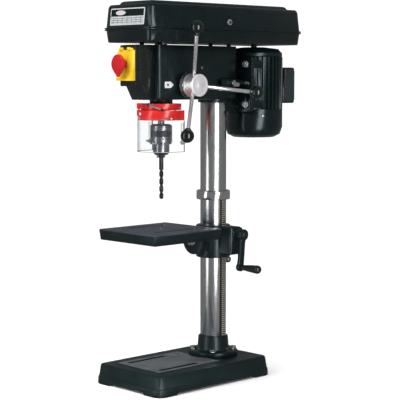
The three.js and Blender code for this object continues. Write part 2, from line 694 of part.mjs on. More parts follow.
function makeSwitchHousing() {
  const { halfWidth, front, rear, shoulder, toe, wall } = switchBox;
  const side = [
    [front, shoulder],
    [toe, head.bottom],
    [rear, head.bottom],
    [rear, head.top],
    [front, head.top],
  ];
  const inside = [
    [front + wall, shoulder + 1],
    [toe + wall, head.bottom + wall],
    [rear + 5, head.bottom + wall],
    [rear + 5, head.top - wall],
    [front + wall, head.top - wall],
  ];
  const { halfWidth: plateHalf, front: face, bottom, top } = switchPlate;
  const block = drafted(
    { xs: [-plateHalf, plateHalf], ys: [bottom, top], corner: 3 },
    [[-front - 1, 0], [-face - 1, 0], [-face, -1]],
  );
  const room = slab([-20, 20], [face + wall, front + 5], [bottom + 15, top - 6]);
  const buttonHole = bar(startButton.radius + gap, [0, -262, startButton.z], [0, -240, startButton.z]);
  const innerHalf = halfWidth - wall;
  const shell = cut(sidePlate(side, -halfWidth, halfWidth), sidePlate(inside, -innerHalf, innerHalf));
  return cut(join(shell, block.rotateX(Math.PI / 2)), room, buttonHole);
}

function makeSwitchFlap() {
  const { halfWidth, bottom, top, back, topFront, bottomFront } = flap;
  const side = [[topFront, top], [bottomFront, bottom], [back, bottom], [back, top]];
  const inside = [
    [topFront + 2.2, top - 2],
    [bottomFront + 2.5, bottom + 3],
    [back + 1, bottom + 3],
    [back + 1, top - 2],
  ];
  const shell = cut(sidePlate(side, -halfWidth, halfWidth), sidePlate(inside, -halfWidth + 2, halfWidth - 2));
  const knuckles = [-1, 1].map((side) =>
    bar(flapHinge.radius, [side * 9, flapHinge.y, flapHinge.z], [side * 21, flapHinge.y, flapHinge.z]));
  const lip = slab([-halfWidth + 4, halfWidth - 8], [bottomFront - 2, bottomFront + 2], [bottom, bottom + 6]);
  const stemHole = bar(paddle.stemRadius + 0.5, [0, -280, paddle.z], [0, -255, paddle.z]);
  return cut(join(shell, ...knuckles, lip), stemHole);
}

function makeStopPaddle() {
  const chamfer = 2.5;
  const outline = taperedCapsule(paddle.z - paddle.tailZ, paddle.radius, paddle.tailRadius);
  const face = new THREE.ExtrudeGeometry(outline, {
    depth: paddle.back - paddle.front - 2 * chamfer,
    bevelThickness: chamfer,
    bevelSize: chamfer,
    bevelOffset: -chamfer,
    bevelSegments: 1,
    curveSegments: 9,
  });
  face.rotateZ(-Math.PI / 2).rotateX(Math.PI / 2).translate(0, paddle.back - chamfer, paddle.z);
  return join(face, bar(paddle.stemRadius, [0, -263.6, paddle.z], [0, paddle.back - 1, paddle.z]));
}

function makeStartButton() {
  return bar(startButton.radius, [0, startButton.front, startButton.z], [0, -252, startButton.z]);
}

function headPieces() {
  return groupAt(
    0, 0, 0,
    part("head_casting", makeHeadCasting(), "paint"),
    groupAt(0, feed.y, feed.z, part("spring_housing", makeSpringHousing(), "paint")),
    part("switch_housing", makeSwitchHousing(), "blackPlastic"),
    part("switch_flap", makeSwitchFlap(), "yellowPlastic"),
    part("stop_paddle", makeStopPaddle(), "redPlastic"),
    part("start_button", makeStartButton(), "greenPlastic"),
  );
}

// ---------------------------------------------------------------- quill, spindle and chuck

function makeQuill() {
  const pocket = bearing.radius + gap;
  const bore = spindle.radius + 0.8;
  const shell = turned([
    [pocket, quill.bottom],
    [quill.radius, quill.bottom],
    [quill.radius, quill.top],
    [pocket, quill.top],
    [pocket, quill.top - 12],
    [bore, quill.top - 12],
    [bore, quill.bottom + 13],
    [pocket, quill.bottom + 13],
    [pocket, quill.bottom],
  ]);
  const outside = quill.radius + 3;
  const root = quillPitchRadius - dedendum;
  const teeth = rackTeeth(quillPitchRadius, 1, feed.z, quill.rackBottom, quill.rackTop);
  const notch = [
    [outside, quill.rackBottom],
    [root, quill.rackBottom],
    ...teeth,
    [root, quill.rackTop],
    [outside, quill.rackTop],
  ];
  return cut(shell, sidePlate(notch.reverse(), -pinion.width / 2 - 1, pinion.width / 2 + 1));
}

function makeSpindle() {
  const { radius, bottom, shoulder, top, splineRadius } = spindle;
  return turned([
    [0, bottom],
    [radius - 0.6, bottom],
    [radius, bottom + 22],
    [radius, shoulder],
    [splineRadius, shoulder + 1],
    [splineRadius, top - 1],
    [splineRadius - 1, top],
    [0, top],
  ]);
}

// Where a jaw's axis lies at a height, in the plane at the jaw's angle.
function jawPoint(z, angle) {
  const radius = jawNose.radius + (z - jawNose.z) * Math.tan(jaw.slant);
  return [radius * Math.cos(angle), radius * Math.sin(angle), z];
}

const jawAngles = [90, 210, 330].map((angle) => angle * degree);

function makeChuckBody() {
  const bore = spindle.radius + gap;
  const throat = bit.radius + 0.5;
  const { bodyRadius, top, bottom } = chuck;
  const { radius: sleeveRadius, top: sleeveTop } = chuckSleeve;
  const body = turned([
    [throat, bottom],
    [14, bottom],
    [bodyRadius, bottom + 5],
    [bodyRadius, sleeveTop + gap],
    [sleeveRadius, sleeveTop + gap],
    [sleeveRadius, top - 3.5],
    [sleeveRadius - 5, top],
    [bore, top],
    [bore, spindle.bottom - 0.5],
    [throat, spindle.bottom - 0.5],
    [throat, bottom],
  ]);
  const jawHoles = jawAngles.map((angle) =>
    bar(jaw.radius + gap, jawPoint(jaw.bottom - 6, angle), jawPoint(jaw.top + jaw.travel + 1.5, angle)));
  const keyHoles = [30, 150, 270].map((angle) => {
    const [x, y] = [Math.cos(angle * degree), Math.sin(angle * degree)];
    return bar(keyHole.radius, [x * 10, y * 10, keyHole.z], [x * 25, y * 25, keyHole.z]);
  });
  return cut(body, ...jawHoles, ...keyHoles);
}

function makeChuckSleeve() {
  const inner = chuck.bodyRadius + gap;
  const outer = chuckSleeve.radius;
  const { bottom: sleeveBottom, top: sleeveTop } = chuckSleeve;
  const neck = sleeveTop - 12;
  const shell = turned([
    [inner, sleeveBottom],
    [outer - 3.5, sleeveBottom],
    [outer, sleeveBottom + 4],
    [outer, neck - 0.5],
    [outer - 0.8, neck + 0.2],
    [outer - 0.8, sleeveTop - 0.7],
    [outer - 0.4, sleeveTop],
    [inner, sleeveTop],
    [inner, sleeveBottom],
  ]);
  const toothCount = 14;
  const notches = Array.from({ length: toothCount }, (_, i) => {
    const notch = bar(1.6, [outer - 5, 0, sleeveBottom], [outer + 5, 0, sleeveBottom], 4);
    return notch.rotateZ((i / toothCount) * 2 * Math.PI);
  });
  return cut(shell, ...notches);
}

function makeJaw(angle) {
  const stem = bar(jaw.radius, jawPoint(jaw.bottom, angle), jawPoint(jaw.top, angle));
  const bitRoom = bar(bit.radius + gap, [0, 0, jaw.bottom - 30], [0, 0, jaw.top + 30]);
  return cut(stem, bitRoom);
}

// Two-flute twist drill: a round section with two hollows, twisted up its length.
function makeDrillBit() {
  const around = 12;
  const section = (scale, turn) => Array.from({ length: around }, (_, i) => {
    const angle = (i / around) * 2 * Math.PI;
    const hollow = Math.max(0, Math.cos(2 * angle)) ** 0.7;
    const radius = bit.radius * scale * (1 - 0.52 * hollow);
    return new THREE.Vector2(radius * Math.cos(angle + turn), radius * Math.sin(angle + turn));
  });
  const pointLength = 3;
  const levels = 16;
  const fluted = Array.from({ length: levels + 1 }, (_, i) => {
    const z = bit.tip + pointLength + ((bit.fluteTop - bit.tip - pointLength) * i) / levels;
    return { z, outline: section(1, (z / bit.lead) * 2 * Math.PI) };
  });
  const point = { z: bit.tip, outline: section(0.08, (bit.tip / bit.lead) * 2 * Math.PI) };
  return join(loft([point, ...fluted]), bar(bit.radius, [0, 0, bit.fluteTop - 8], [0, 0, bit.shankTop]));
}

function spindlePieces() {
  const bearingBottom = quill.bottom + 0.6;
  const bearingTop = bearingBottom + bearing.height;
  const bearingRing = ring(spindle.radius + gap, bearing.radius, bearingBottom, bearingTop);
  return groupAt(
    0, spindleY, 0,
    part("quill", makeQuill(), "steel"),
    part("quill_bearing", bearingRing, "darkSteel"),
    part("spindle", makeSpindle(), "darkSteel"),
    part("chuck_body", makeChuckBody(), "chrome"),
    part("chuck_sleeve", makeChuckSleeve(), "chrome"),
    ...jawAngles.map((angle, i) => part(`chuck_jaw_${i + 1}`, makeJaw(angle), "darkSteel")),
    part("drill_bit", makeDrillBit(), "darkSteel"),
  );
}

// ---------------------------------------------------------------- feed handles

function makeFeedShaft() {
  const shaft = alongX(bar(feed.shaftRadius, [0, 0, -66], [0, 0, feedHub.right - 6]));
  const teeth = extruded(gearShape(pinion.teeth, -Math.PI / 2), pinion.width);
  return join(shaft, alongX(teeth.translate(0, 0, -pinion.width / 2)));
}

// A point on a feed rod, at a distance from the rod's root on the hub axis.
function rodPoint(distance, angle) {
  const across = distance * Math.cos(feedRod.tilt);
  const x = feedRod.rootX + distance * Math.sin(feedRod.tilt);
  return [x, across * Math.cos(angle), across * Math.sin(angle)];
}

const rodAngles = [0, 1, 2].map((i) => feedRod.phase + (i * 2 * Math.PI) / 3);

function makeFeedHub() {
  const { left, right, journalRadius, leftRadius, rightRadius } = feedHub;
  const bore = feed.shaftRadius + gap;
  const body = alongX(turned([
    [bore, left],
    [journalRadius - gap, left],
    [journalRadius - gap, left + dial.width + 0.7],
    [leftRadius - 1, left + dial.width + 0.7],
    [leftRadius, left + dial.width + 1.7],
    [rightRadius, right - 3],
    [rightRadius, right],
    [0, right],
    [0, right - 4],
    [bore, right - 4],
    [bore, left],
  ]));
  const sockets = rodAngles.map((angle) =>
    bar(feedRod.radius + gap, rodPoint(feedRod.root - gap, angle), rodPoint(feedRod.root + 33, angle)));
  return cut(body, ...sockets);
}

function makeHubCap() {
  const { left, right, radius } = hubCap;
  const profile = [[0, left], [radius, left], [radius, right - 2], [radius - 1, right - 0.7], [0, right]];
  return alongX(turned(profile));
}

function makeDepthDial() {
  const { left, radius } = dial;
  const right = left + dial.width;
  const bore = feedHub.journalRadius;
  return alongX(turned([
    [bore, left],
    [radius - 0.5, left],
    [radius, left + 0.5],
    [radius, right - 0.5],
    [radius - 0.5, right],
    [bore, right],
    [bore, left],
  ]));
}

function makeFeedRod(angle) {
  return bar(feedRod.radius, rodPoint(feedRod.root, angle), rodPoint(feedBall.distance - 6, angle));
}

// A ball with a neck, bored for the rod, made along Z and then laid along the rod.
function makeFeedBall(angle) {
  const { radius, neckRadius } = feedBall;
  const bore = feedRod.radius + gap;
  const neckHeight = -Math.sqrt(radius ** 2 - neckRadius ** 2);
  const arc = Array.from({ length: 7 }, (_, i) => {
    const from = Math.asin(neckHeight / radius);
    const turn = from + ((Math.PI / 2 - from) * i) / 6;
    return [i === 6 ? 0 : radius * Math.cos(turn), radius * Math.sin(turn)];
  });
  const profile = [
    [bore, -19],
    [6.6, -19],
    [neckRadius, -17.5],
    ...arc,
    [0, -5.5],
    [bore, -5.5],
    [bore, -19],
  ];
  const along = new THREE.Vector3(...rodPoint(1, angle)).sub(new THREE.Vector3(...rodPoint(0, angle)));
  const turn = new THREE.Quaternion().setFromUnitVectors(new THREE.Vector3(0, 0, 1), along);
  const ball = turned(profile, 12);
  ball.applyQuaternion(turn);
  return ball.translate(...rodPoint(feedBall.distance, angle));
}

function feedPieces() {
  return groupAt(
    0, feed.y, feed.z,
    part("feed_shaft", makeFeedShaft(), "darkSteel"),
    part("feed_hub", makeFeedHub(), "chrome"),
    part("hub_cap", makeHubCap(), "aluminium"),
    part("depth_dial", makeDepthDial(), "blackPlastic"),
    ...rodAngles.map((angle, i) => part(`feed_rod_${i + 1}`, makeFeedRod(angle), "chrome")),
    ...rodAngles.map((angle, i) => part(`feed_knob_${i + 1}`, makeFeedBall(angle), "blackPlastic")),
  );
}

// ---------------------------------------------------------------- chuck guard

function makeGuardCollar() {
  const { radius, bottom, top } = guardCollar;
  const bore = quill.radius + gap;
  const cup = turned([
    [bore, bottom], [27, bottom], [27, top - 2.5], [radius - 2.5, top - 2.5], [radius - 2.5, bottom],
    [radius, bottom], [radius, top], [bore, top], [bore, bottom],
  ]);
  const arm = slab([guardPin.x, -radius + 1], [-4, 4], [bottom + 1, top]);
  const knuckle = bar(5, [guardPin.x, 0, bottom + 1], [guardPin.x, 0, top]);
  const pin = bar(guardPin.radius, [guardPin.x, 0, guardBand.bottom + 2], [guardPin.x, 0, bottom + 3]);
  return join(cup, arm, knuckle, pin);
}

// A U-shaped strip seen from above: half a circle at the front and two straight sides.
function guardWall(outer, thickness, sideLength, bottom, top) {
  const shape = new THREE.Shape();
  shape.moveTo(-outer, sideLength);
  shape.lineTo(-outer, 0);
  shape.absarc(0, 0, outer, Math.PI, 2 * Math.PI, false);
  shape.lineTo(outer, sideLength);
  shape.lineTo(outer - thickness, sideLength);
  shape.lineTo(outer - thickness, 0);
  shape.absarc(0, 0, outer - thickness, 2 * Math.PI, Math.PI, true);
  shape.lineTo(-outer + thickness, sideLength);
  shape.closePath();
  return extruded(shape, top - bottom, 14).translate(0, 0, bottom);
}

function makeGuardBand() {
  const { radius, thickness, bottom, top, sideLength } = guardBand;
  const wall = guardWall(radius, thickness, sideLength, bottom, top);
  const arm = slab([guardPin.x, -radius + 1], [-4, 4], [guardPin.armBottom, top - 1]);
  const knuckle = bar(5, [guardPin.x, 0, guardPin.armBottom], [guardPin.x, 0, top - 1]);
  const hole = bar(guardPin.radius + gap, [guardPin.x, 0, bottom - 5], [guardPin.x, 0, top + 5]);
  return cut(join(wall, arm, knuckle), hole);
}

function makeGuardShield() {
  const { thickness, bottom, top } = guardShield;
  const slot = shieldSlot;
  const outer = guardBand.radius + gap + thickness;
  const wall = guardWall(outer, thickness, guardBand.sideLength - 1, bottom, top);
  const slots = [-outer, outer].map((x) => {
    return slab([x - 5, x + 5], [slot.y, slot.y + slot.width], [slot.bottom, slot.top]);
  });
  return cut(wall, ...slots);
}

function guardPieces() {
  return groupAt(
    0, spindleY, 0,
    part("guard_collar", makeGuardCollar(), "redPaint"),
    part("guard_band", makeGuardBand(), "redPaint"),
    part("guard_shield", makeGuardShield(), "clearPlastic"),
  );
}

// ---------------------------------------------------------------- belt guard, pulleys and belt

const rimOutline = {
  xs: [-guardRim.halfWidth, guardRim.halfWidth],
  ys: [guardRim.front, guardRim.rear],
  corner: guardRim.corner,
};

// A round bar, or a square room for one, along a lid hinge; the places are measured along Y.
function hingeBar(radius, from, to) {
  return bar(radius, [lidHinge.x, from, lidHinge.z], [lidHinge.x, to, lidHinge.z]);
}

function hingeRoom(from, to) {
  const { x, z, room } = lidHinge;
  return slab([x - room, x + room], [from, to], [z - room, z + room]);
}

function makePan() {
  const outside = drafted(rimOutline, [
    [pan.bottom, -9.5],
    [pan.bottom + 3, -7.6],
    [pan.lip, -4.5],
    [pan.lip + 0.5, 0],
    [pan.top, 0],
  ]);
  const inside = drafted(rimOutline, [[pan.bottom + pan.wall, -11.5], [pan.top + 1, -7]]);
  const spindleHole = bar(29, [0, spindleY, pan.bottom - 5], [0, spindleY, pan.bottom + 10]);
  const shaftSlot = slotCutter(0, motorY - 26, motorY + 16, 32, pan.bottom - 5, pan.bottom + 10);
  const { halfLength, radius, pinRadius } = lidHinge;
  const pins = lidHingePlaces.map((y) => hingeBar(pinRadius, y - 2, y + halfLength - 2));
  const knuckles = lidHingePlaces.map((y) => hingeBar(radius, y, y - halfLength));
  const lidRoom = lidHingePlaces.map((y) => hingeRoom(y, y + halfLength + 1));
  const shell = cut(outside, inside, spindleHole, shaftSlot, ...lidRoom);
  return join(shell, ...knuckles, ...pins);
}

function makeLid() {
  const { bottom, rimTop, shoulder, top } = lid;
  const outside = drafted(rimOutline, [
    [bottom, 0],
    [rimTop, -0.5],
    [rimTop + 0.5, -4.5],
    [shoulder - 7, -9],
    [shoulder - 2, -11.5],
    [shoulder, -15],
    [shoulder + 0.8, -30],
    [top - 2, -33],
    [top, -37],
  ]);
  const inside = drafted(rimOutline, [
    [bottom - 1, -7],
    [shoulder - 9, -11.5],
    [shoulder - 2.7, -18],
    [shoulder - 2, -33],
    [top - 3, -39],
  ]);
  const { halfLength, radius, pinRadius } = lidHinge;
  const panRoom = lidHingePlaces.map((y) => hingeRoom(y - halfLength - 1, y + 0.5));
  const pinHoles = lidHingePlaces.map((y) => hingeBar(pinRadius + gap, y - 3, y + halfLength + 8));
  const knuckles = lidHingePlaces.map((y) => hingeBar(radius, y + 0.5, y + halfLength));
  return cut(join(cut(outside, inside, ...panRoom), ...knuckles), ...pinHoles);
}

// A cone pulley: each step has a square groove for the belt.
function makePulley(steps, bore, hubBottom) {
  const hubRadius = 15;
  const profile = [[bore, hubBottom], [hubRadius - 1, hubBottom], [hubRadius - 1, pulleyBottom]];
  steps.forEach((radius, i) => {
    const z = pulleyBottom + i * pulleyStep;
    const groove = radius - 5;
    profile.push([radius, z], [radius, z + 2], [groove, z + 2]);
    profile.push([groove, z + 11], [radius, z + 11], [radius, z + pulleyStep]);
  });
  const top = pulleyBottom + steps.length * pulleyStep;
  profile.push([hubRadius, top], [hubRadius, top + 4], [bore, top + 4], [bore, hubBottom]);
  return turned(profile, 16);
}

function makeBelt() {
  const length = motorY - spindleY;
  const [small, large] = [spindleSteps[beltStep], motorSteps[beltStep]];
  const shape = taperedCapsule(length, small + 1, large + 1);
  shape.holes.push(taperedCapsule(length, small - 4.7, large - 4.7, true));
  const z = pulleyBottom + beltStep * pulleyStep + 2.3;
  return extruded(shape, 8.4, 16).rotateZ(Math.PI / 2).translate(0, spindleY, z);
}

function beltPieces() {
  const spindlePulley = makePulley(spindleSteps, spindle.splineRadius + gap, 748);
  const motorPulley = makePulley(motorSteps, motorShaft.radius + gap, 768);
  return groupAt(
    0, 0, 0,
    part("belt_guard_pan", makePan(), "paint"),
    part("belt_guard_lid", makeLid(), "paint"),
    part("drive_belt", makeBelt(), "rubber"),
    groupAt(0, spindleY, 0, part("spindle_pulley", spindlePulley, "aluminium")),
    groupAt(0, motorY, 0, part("motor_pulley", motorPulley, "aluminium")),
  );
}

// ---------------------------------------------------------------- motor

// Straight cooling fins around a round core.
function finnedShape() {
  const { count: fins, rootRadius: root } = motorFins;
  const tip = motor.radius;
  const points = [];
  for (let i = 0; i < fins; i += 1) {
    const centre = ((i + 0.5) / fins) * 2 * Math.PI;
    const [rootHalf, tipHalf] = [0.72 * Math.PI / fins, 0.42 * Math.PI / fins];
    const flanks = [
      [root, centre - rootHalf],
      [tip, centre - tipHalf],
      [tip, centre + tipHalf],
      [root, centre + rootHalf],
    ];
    for (const [radius, angle] of flanks) {
      points.push(new THREE.Vector2(radius * Math.cos(angle), radius * Math.sin(angle)));
    }
  }
  return new THREE.Shape(points);
}

function makeMotorHousing() {
  const fins = extruded(finnedShape(), motor.finTop - motor.finBottom).translate(0, 0, motor.finBottom);
  const lugs = [-1, 1].flatMap((side) => motorBolt.zs.map((z) => {
    const xs = [side * motorBolt.x - 10, side * motorBolt.x + 10];
    return slab(xs, [plate.rear + gap - motorY, -30], [z - 9, z + 9]);
  }));
  const padDepth = [50, capacitor.front - gap - motorY];
  const boxPad = slab([-22, 22], padDepth, [capacitor.bottom + 15, capacitor.top - 15]);
  const bore = bar(motor.bore, [0, 0, motor.finBottom - 1], [0, 0, motor.finTop + 1]);
  const holes = [-1, 1].flatMap((side) => motorBolt.zs.map((z) =>
    bar(motorBolt.radius, [side * motorBolt.x, -80, z], [side * motorBolt.x, -48, z])));
  return cut(join(fins, ...lugs, boxPad), bore, ...holes);
}

function makeEndBell() {
  const { radius, bellTop } = motor;
  const bottom = motor.finTop + gap;
  const bore = motorShaft.radius + 1;
  return turned([
    [bore, bottom + 6],
    [radius - 8, bottom + 6],
    [radius - 8, bottom],
    [radius - 2, bottom],
    [radius - 1, bottom + 1],
    [radius - 1, bottom + 9],
    [radius - 6, bottom + 14],
    [radius - 10, bellTop - 4],
    [26, bellTop],
    [bore, bellTop],
    [bore, bottom + 6],
  ]);
}

function makeFanCover() {
  const { bottom, wall, grilleRadius, grilleBar, grillePitch } = fanCover;
  const { radius, finBottom } = motor;
  const top = finBottom - gap;
  const cup = turned([
    [0, bottom],
    [48, bottom + 2],
    [62, bottom + 9],
    [radius, bottom + 26],
    [radius, top],
    [radius - wall, top],
    [radius - wall, bottom + 27],
    [60.5, bottom + 10.5],
    [47, bottom + 4],
    [0, bottom + wall],
  ]);
  const grille = [-2, -1, 0, 1, 2].map((i) => {
    const y = i * grillePitch;
    const reach = Math.sqrt(grilleRadius ** 2 - y ** 2);
    return slab([-reach, reach], [y - grilleBar / 2, y + grilleBar / 2], [bottom - 2, bottom + 6]);
  });
  return cut(cup, ...grille);
}

function makeCapacitorBox() {
  const { halfWidth, front, rear, bottom, top, corner } = capacitor;
  const outline = { xs: [-halfWidth, halfWidth], ys: [front, rear], corner };
  const body = drafted(outline, [[bottom, -3], [bottom + 3, 0], [top - 3, 0], [top, -3]]);
  const room = slab([-halfWidth + 9, halfWidth - 9], [front - 1, rear - 3], [bottom + 4, top - 4]);
  return cut(body, room);
}

function makeMotorPlate() {
  const outline = { xs: [-plate.halfWidth, plate.halfWidth], ys: [plate.bottom, plate.top], corner: 8 };
  const sheet = drafted(outline, [[-plate.rear, -0.5], [-plate.front, 0]]).rotateX(Math.PI / 2);
  const holes = [-motorBolt.x, motorBolt.x].flatMap((x) => motorBolt.zs.map((z) =>
    bar(motorBolt.radius, [x, plate.front - 5, z], [x, plate.rear + 5, z])));
  return cut(sheet, ...holes);
}

function makeMotorRotor() {
  const { radius, bottom, top } = motorShaft;
  const core = { radius: 38, bottom: 630, top: 715 };
  return turned([
    [0, bottom],
    [radius, bottom],
    [radius, core.bottom],
    [core.radius, core.bottom],
    [core.radius, core.top],
    [radius, core.top],
    [radius, top],
    [0, top],
  ]);
}

function makeSlideLockScrew() {
  const knob = alongX(extruded(taperedCapsule(10, 4.5, 4.5), 5, 6)).rotateX(Math.PI / 2).translate(56, 0, -5);
  return join(bar(3, [48, 0, 0], [60, 0, 0]), bar(5.5, [52.5, 0, 0], [58, 0, 0]), knob);
}

function motorPieces() {
  const bars = [["left", -slideBar.x], ["right", slideBar.x]].map(([side, x]) => {
    const rod = bar(slideBar.radius, [x, slideBar.front, slideBar.z], [x, plate.front - gap, slideBar.z]);
    return part(`slide_bar_${side}`, rod, "steel");
  });
  const screw = part("slide_lock_screw", makeSlideLockScrew(), "chrome");
  screw.position.set(0, 10, slideBar.z);
  return groupAt(
    0, 0, 0,
    part("motor_plate", makeMotorPlate(), "paint"),
    ...bars,
    screw,
    part("capacitor_box", makeCapacitorBox(), "blackPlastic"),
    groupAt(
      0, motorY, 0,
      part("motor_housing", makeMotorHousing(), "paint"),
      part("motor_end_bell", makeEndBell(), "paint"),
      part("motor_fan_cover", makeFanCover(), "paint"),
      part("motor_rotor", makeMotorRotor(), "steel"),
    ),
  );
}

// ---------------------------------------------------------------- the whole machine

// The origin is the middle of the footprint's bounding box, on the surface that the feet stand on.
const footprintCentre = { x: 26.55, y: -25 };

export default groupAt(
  -footprintCentre.x, -footprintCentre.y, 0,
  columnPieces(),
  tablePieces(),
  headPieces(),
  spindlePieces(),
  feedPieces(),
  guardPieces(),
  beltPieces(),
  motorPieces(),
);
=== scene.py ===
import json
import math

import bmesh
import bpy
from mathutils import Matrix, Vector


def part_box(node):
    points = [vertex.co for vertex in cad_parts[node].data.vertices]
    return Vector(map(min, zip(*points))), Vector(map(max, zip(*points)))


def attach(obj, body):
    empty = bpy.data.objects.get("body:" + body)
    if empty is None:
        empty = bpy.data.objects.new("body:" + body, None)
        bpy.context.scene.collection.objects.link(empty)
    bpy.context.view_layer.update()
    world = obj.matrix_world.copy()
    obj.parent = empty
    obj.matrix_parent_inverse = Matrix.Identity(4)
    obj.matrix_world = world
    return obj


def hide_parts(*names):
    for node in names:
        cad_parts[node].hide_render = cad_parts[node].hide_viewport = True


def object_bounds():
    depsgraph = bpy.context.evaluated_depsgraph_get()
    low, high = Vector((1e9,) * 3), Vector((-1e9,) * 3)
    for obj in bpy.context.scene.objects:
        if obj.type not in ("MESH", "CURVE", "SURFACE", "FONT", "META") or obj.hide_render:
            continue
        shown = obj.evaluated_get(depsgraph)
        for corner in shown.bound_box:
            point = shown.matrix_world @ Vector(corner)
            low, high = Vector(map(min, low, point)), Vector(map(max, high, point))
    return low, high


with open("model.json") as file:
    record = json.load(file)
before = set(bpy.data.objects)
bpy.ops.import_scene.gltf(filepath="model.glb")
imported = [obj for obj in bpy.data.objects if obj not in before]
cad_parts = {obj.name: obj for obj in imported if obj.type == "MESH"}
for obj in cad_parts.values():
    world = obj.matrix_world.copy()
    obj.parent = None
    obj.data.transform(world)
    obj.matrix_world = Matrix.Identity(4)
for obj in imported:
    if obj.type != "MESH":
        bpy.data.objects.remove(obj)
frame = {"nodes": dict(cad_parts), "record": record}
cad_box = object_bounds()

# Shapes and places are in millimetres from the foot of the column's axis, with +Z up and -Y towards the
# operator. Most places come from the boxes of the CAD nodes, and the rest are named sizes of the model.
# The materials' bump distances, the floor and the lights are in metres.

MM = 0.001
ROUND = 96  # sides round a turned piece
SEAM = 0.0005  # points nearer than this are one
FULL_TURN = 2 * math.pi

tube_low, tube_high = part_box("column_tube")
ORIGIN = Vector(((tube_low.x + tube_high.x) / 2, (tube_low.y + tube_high.y) / 2, 0))


class Box:
    """A CAD node's box: low sides x0, y0, z0, high sides x1, y1, z1, and middle x, y, z."""

    def __init__(self, node):
        low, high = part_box(node)
        self.x0, self.y0, self.z0 = (low - ORIGIN) / MM
        self.x1, self.y1, self.z1 = (high - ORIGIN) / MM
        self.x = (self.x0 + self.x1) / 2
        self.y = (self.y0 + self.y1) / 2
        self.z = (self.z0 + self.z1) / 2


# ---------------------------------------------------------------- node helpers


class Graph:
    """Short names for building a material's nodes."""

    def __init__(self, name):
        self.material = bpy.data.materials.new(name)
        self.material.use_nodes = True
        self.tree = self.material.node_tree
        self.shader = self.tree.nodes["Principled BSDF"]
        self.place = self.tree.nodes.new("ShaderNodeTexCoord").outputs["Object"]

    def node(self, kind, inputs=None, **settings):
        made = self.tree.nodes.new(kind)
        for key, value in settings.items():
            setattr(made, key, value)
        for key, value in (inputs or {}).items():
            self.feed(made.inputs[key], value)
        return made

    def feed(self, socket, value):
        if isinstance(value, bpy.types.NodeSocket):
            self.tree.links.new(value, socket)
        else:
            socket.default_value = value

    def set(self, **sockets):
        for key, value in sockets.items():
            self.feed(self.shader.inputs[key.replace("_", " ")], value)

    def stretched(self, x, y, z):
        return self.node("ShaderNodeMapping", {"Vector": self.place, "Scale": (x, y, z)}).outputs["Vector"]

    def noise(self, scale, detail=3.0, roughness=0.5, vector=None):
        inputs = {"Vector": vector or self.place, "Scale": scale, "Detail": detail, "Roughness": roughness}
        return self.node("ShaderNodeTexNoise", inputs).outputs["Fac"]

    def spread(self, value, low, high, out_low=0.0, out_high=1.0):
        """value from low..high mapped onto out_low..out_high, and held at the ends."""
        inputs = {"Value": value, "From Min": low, "From Max": high, "To Min": out_low, "To Max": out_high}
        return self.node("ShaderNodeMapRange", inputs).outputs["Result"]

    def math(self, operation, a, b):
        made = self.node("ShaderNodeMath", operation=operation)
        self.feed(made.inputs[0], a)
        self.feed(made.inputs[1], b)
        return made.outputs["Value"]

    def mix(self, factor, a, b):
        made = self.node("ShaderNodeMix", data_type="RGBA")
        self.feed(made.inputs["Factor"], factor)
        self.feed(made.inputs["A"], a)
        self.feed(made.inputs["B"], b)
        return made.outputs["Result"]

    def bump(self, height, distance, strength=1.0, normal=None):
        inputs = {"Height": height, "Distance": distance, "Strength": strength}
        made = self.node("ShaderNodeBump", inputs)
        if normal:
            self.feed(made.inputs["Normal"], normal)
        return made.outputs["Normal"]


def colour(red, green, blue):
    return (red, green, blue, 1.0)


def shade(tint, share):
    """A darker form of a colour."""
    return tuple(value * share for value in tint[:3]) + (1.0,)


# ---------------------------------------------------------------- materials

CAST_DARK = colour(0.0018, 0.0056, 0.0054)
CAST_LIGHT = colour(0.0034, 0.0096, 0.0092)
SHEET_DARK = colour(0.0015, 0.0048, 0.0047)
SHEET_LIGHT = colour(0.0027, 0.0076, 0.0075)
DUST = colour(0.12, 0.13, 0.13)
DUST_COVER = 0.35
BLUE_SHEEN = colour(0.72, 0.88, 1.0)


def mottled_paint(g, dark, light):
    """Paint that drifts between two colours, with small specks of dust."""
    mottle = g.spread(g.noise(18, 4), 0.35, 0.7)
    specks = g.spread(g.noise(900, 2, 0.6), 0.68, 0.76)
    return g.mix(g.math("MULTIPLY", specks, DUST_COVER), g.mix(mottle, dark, light), DUST)


def enamel(name, dark, light, roughness, grain, coat):
    """Black-green paint over a casting or a sheet, with the fine ripple of sprayed paint."""
    g = Graph(name)
    g.set(Base_Color=mottled_paint(g, dark, light))
    g.set(Roughness=g.spread(g.noise(60, 3), 0.3, 0.7, roughness - 0.05, roughness + 0.06))
    g.set(Coat_Weight=coat, Coat_Roughness=0.12)
    g.set(Specular_IOR_Level=0.42, Specular_Tint=BLUE_SHEEN)
    ripple = g.bump(g.noise(260, 2, 0.55), 0.0006, grain)
    g.set(Normal=g.bump(g.noise(45, 2), 0.002, grain * 0.5, ripple))
    return g.material


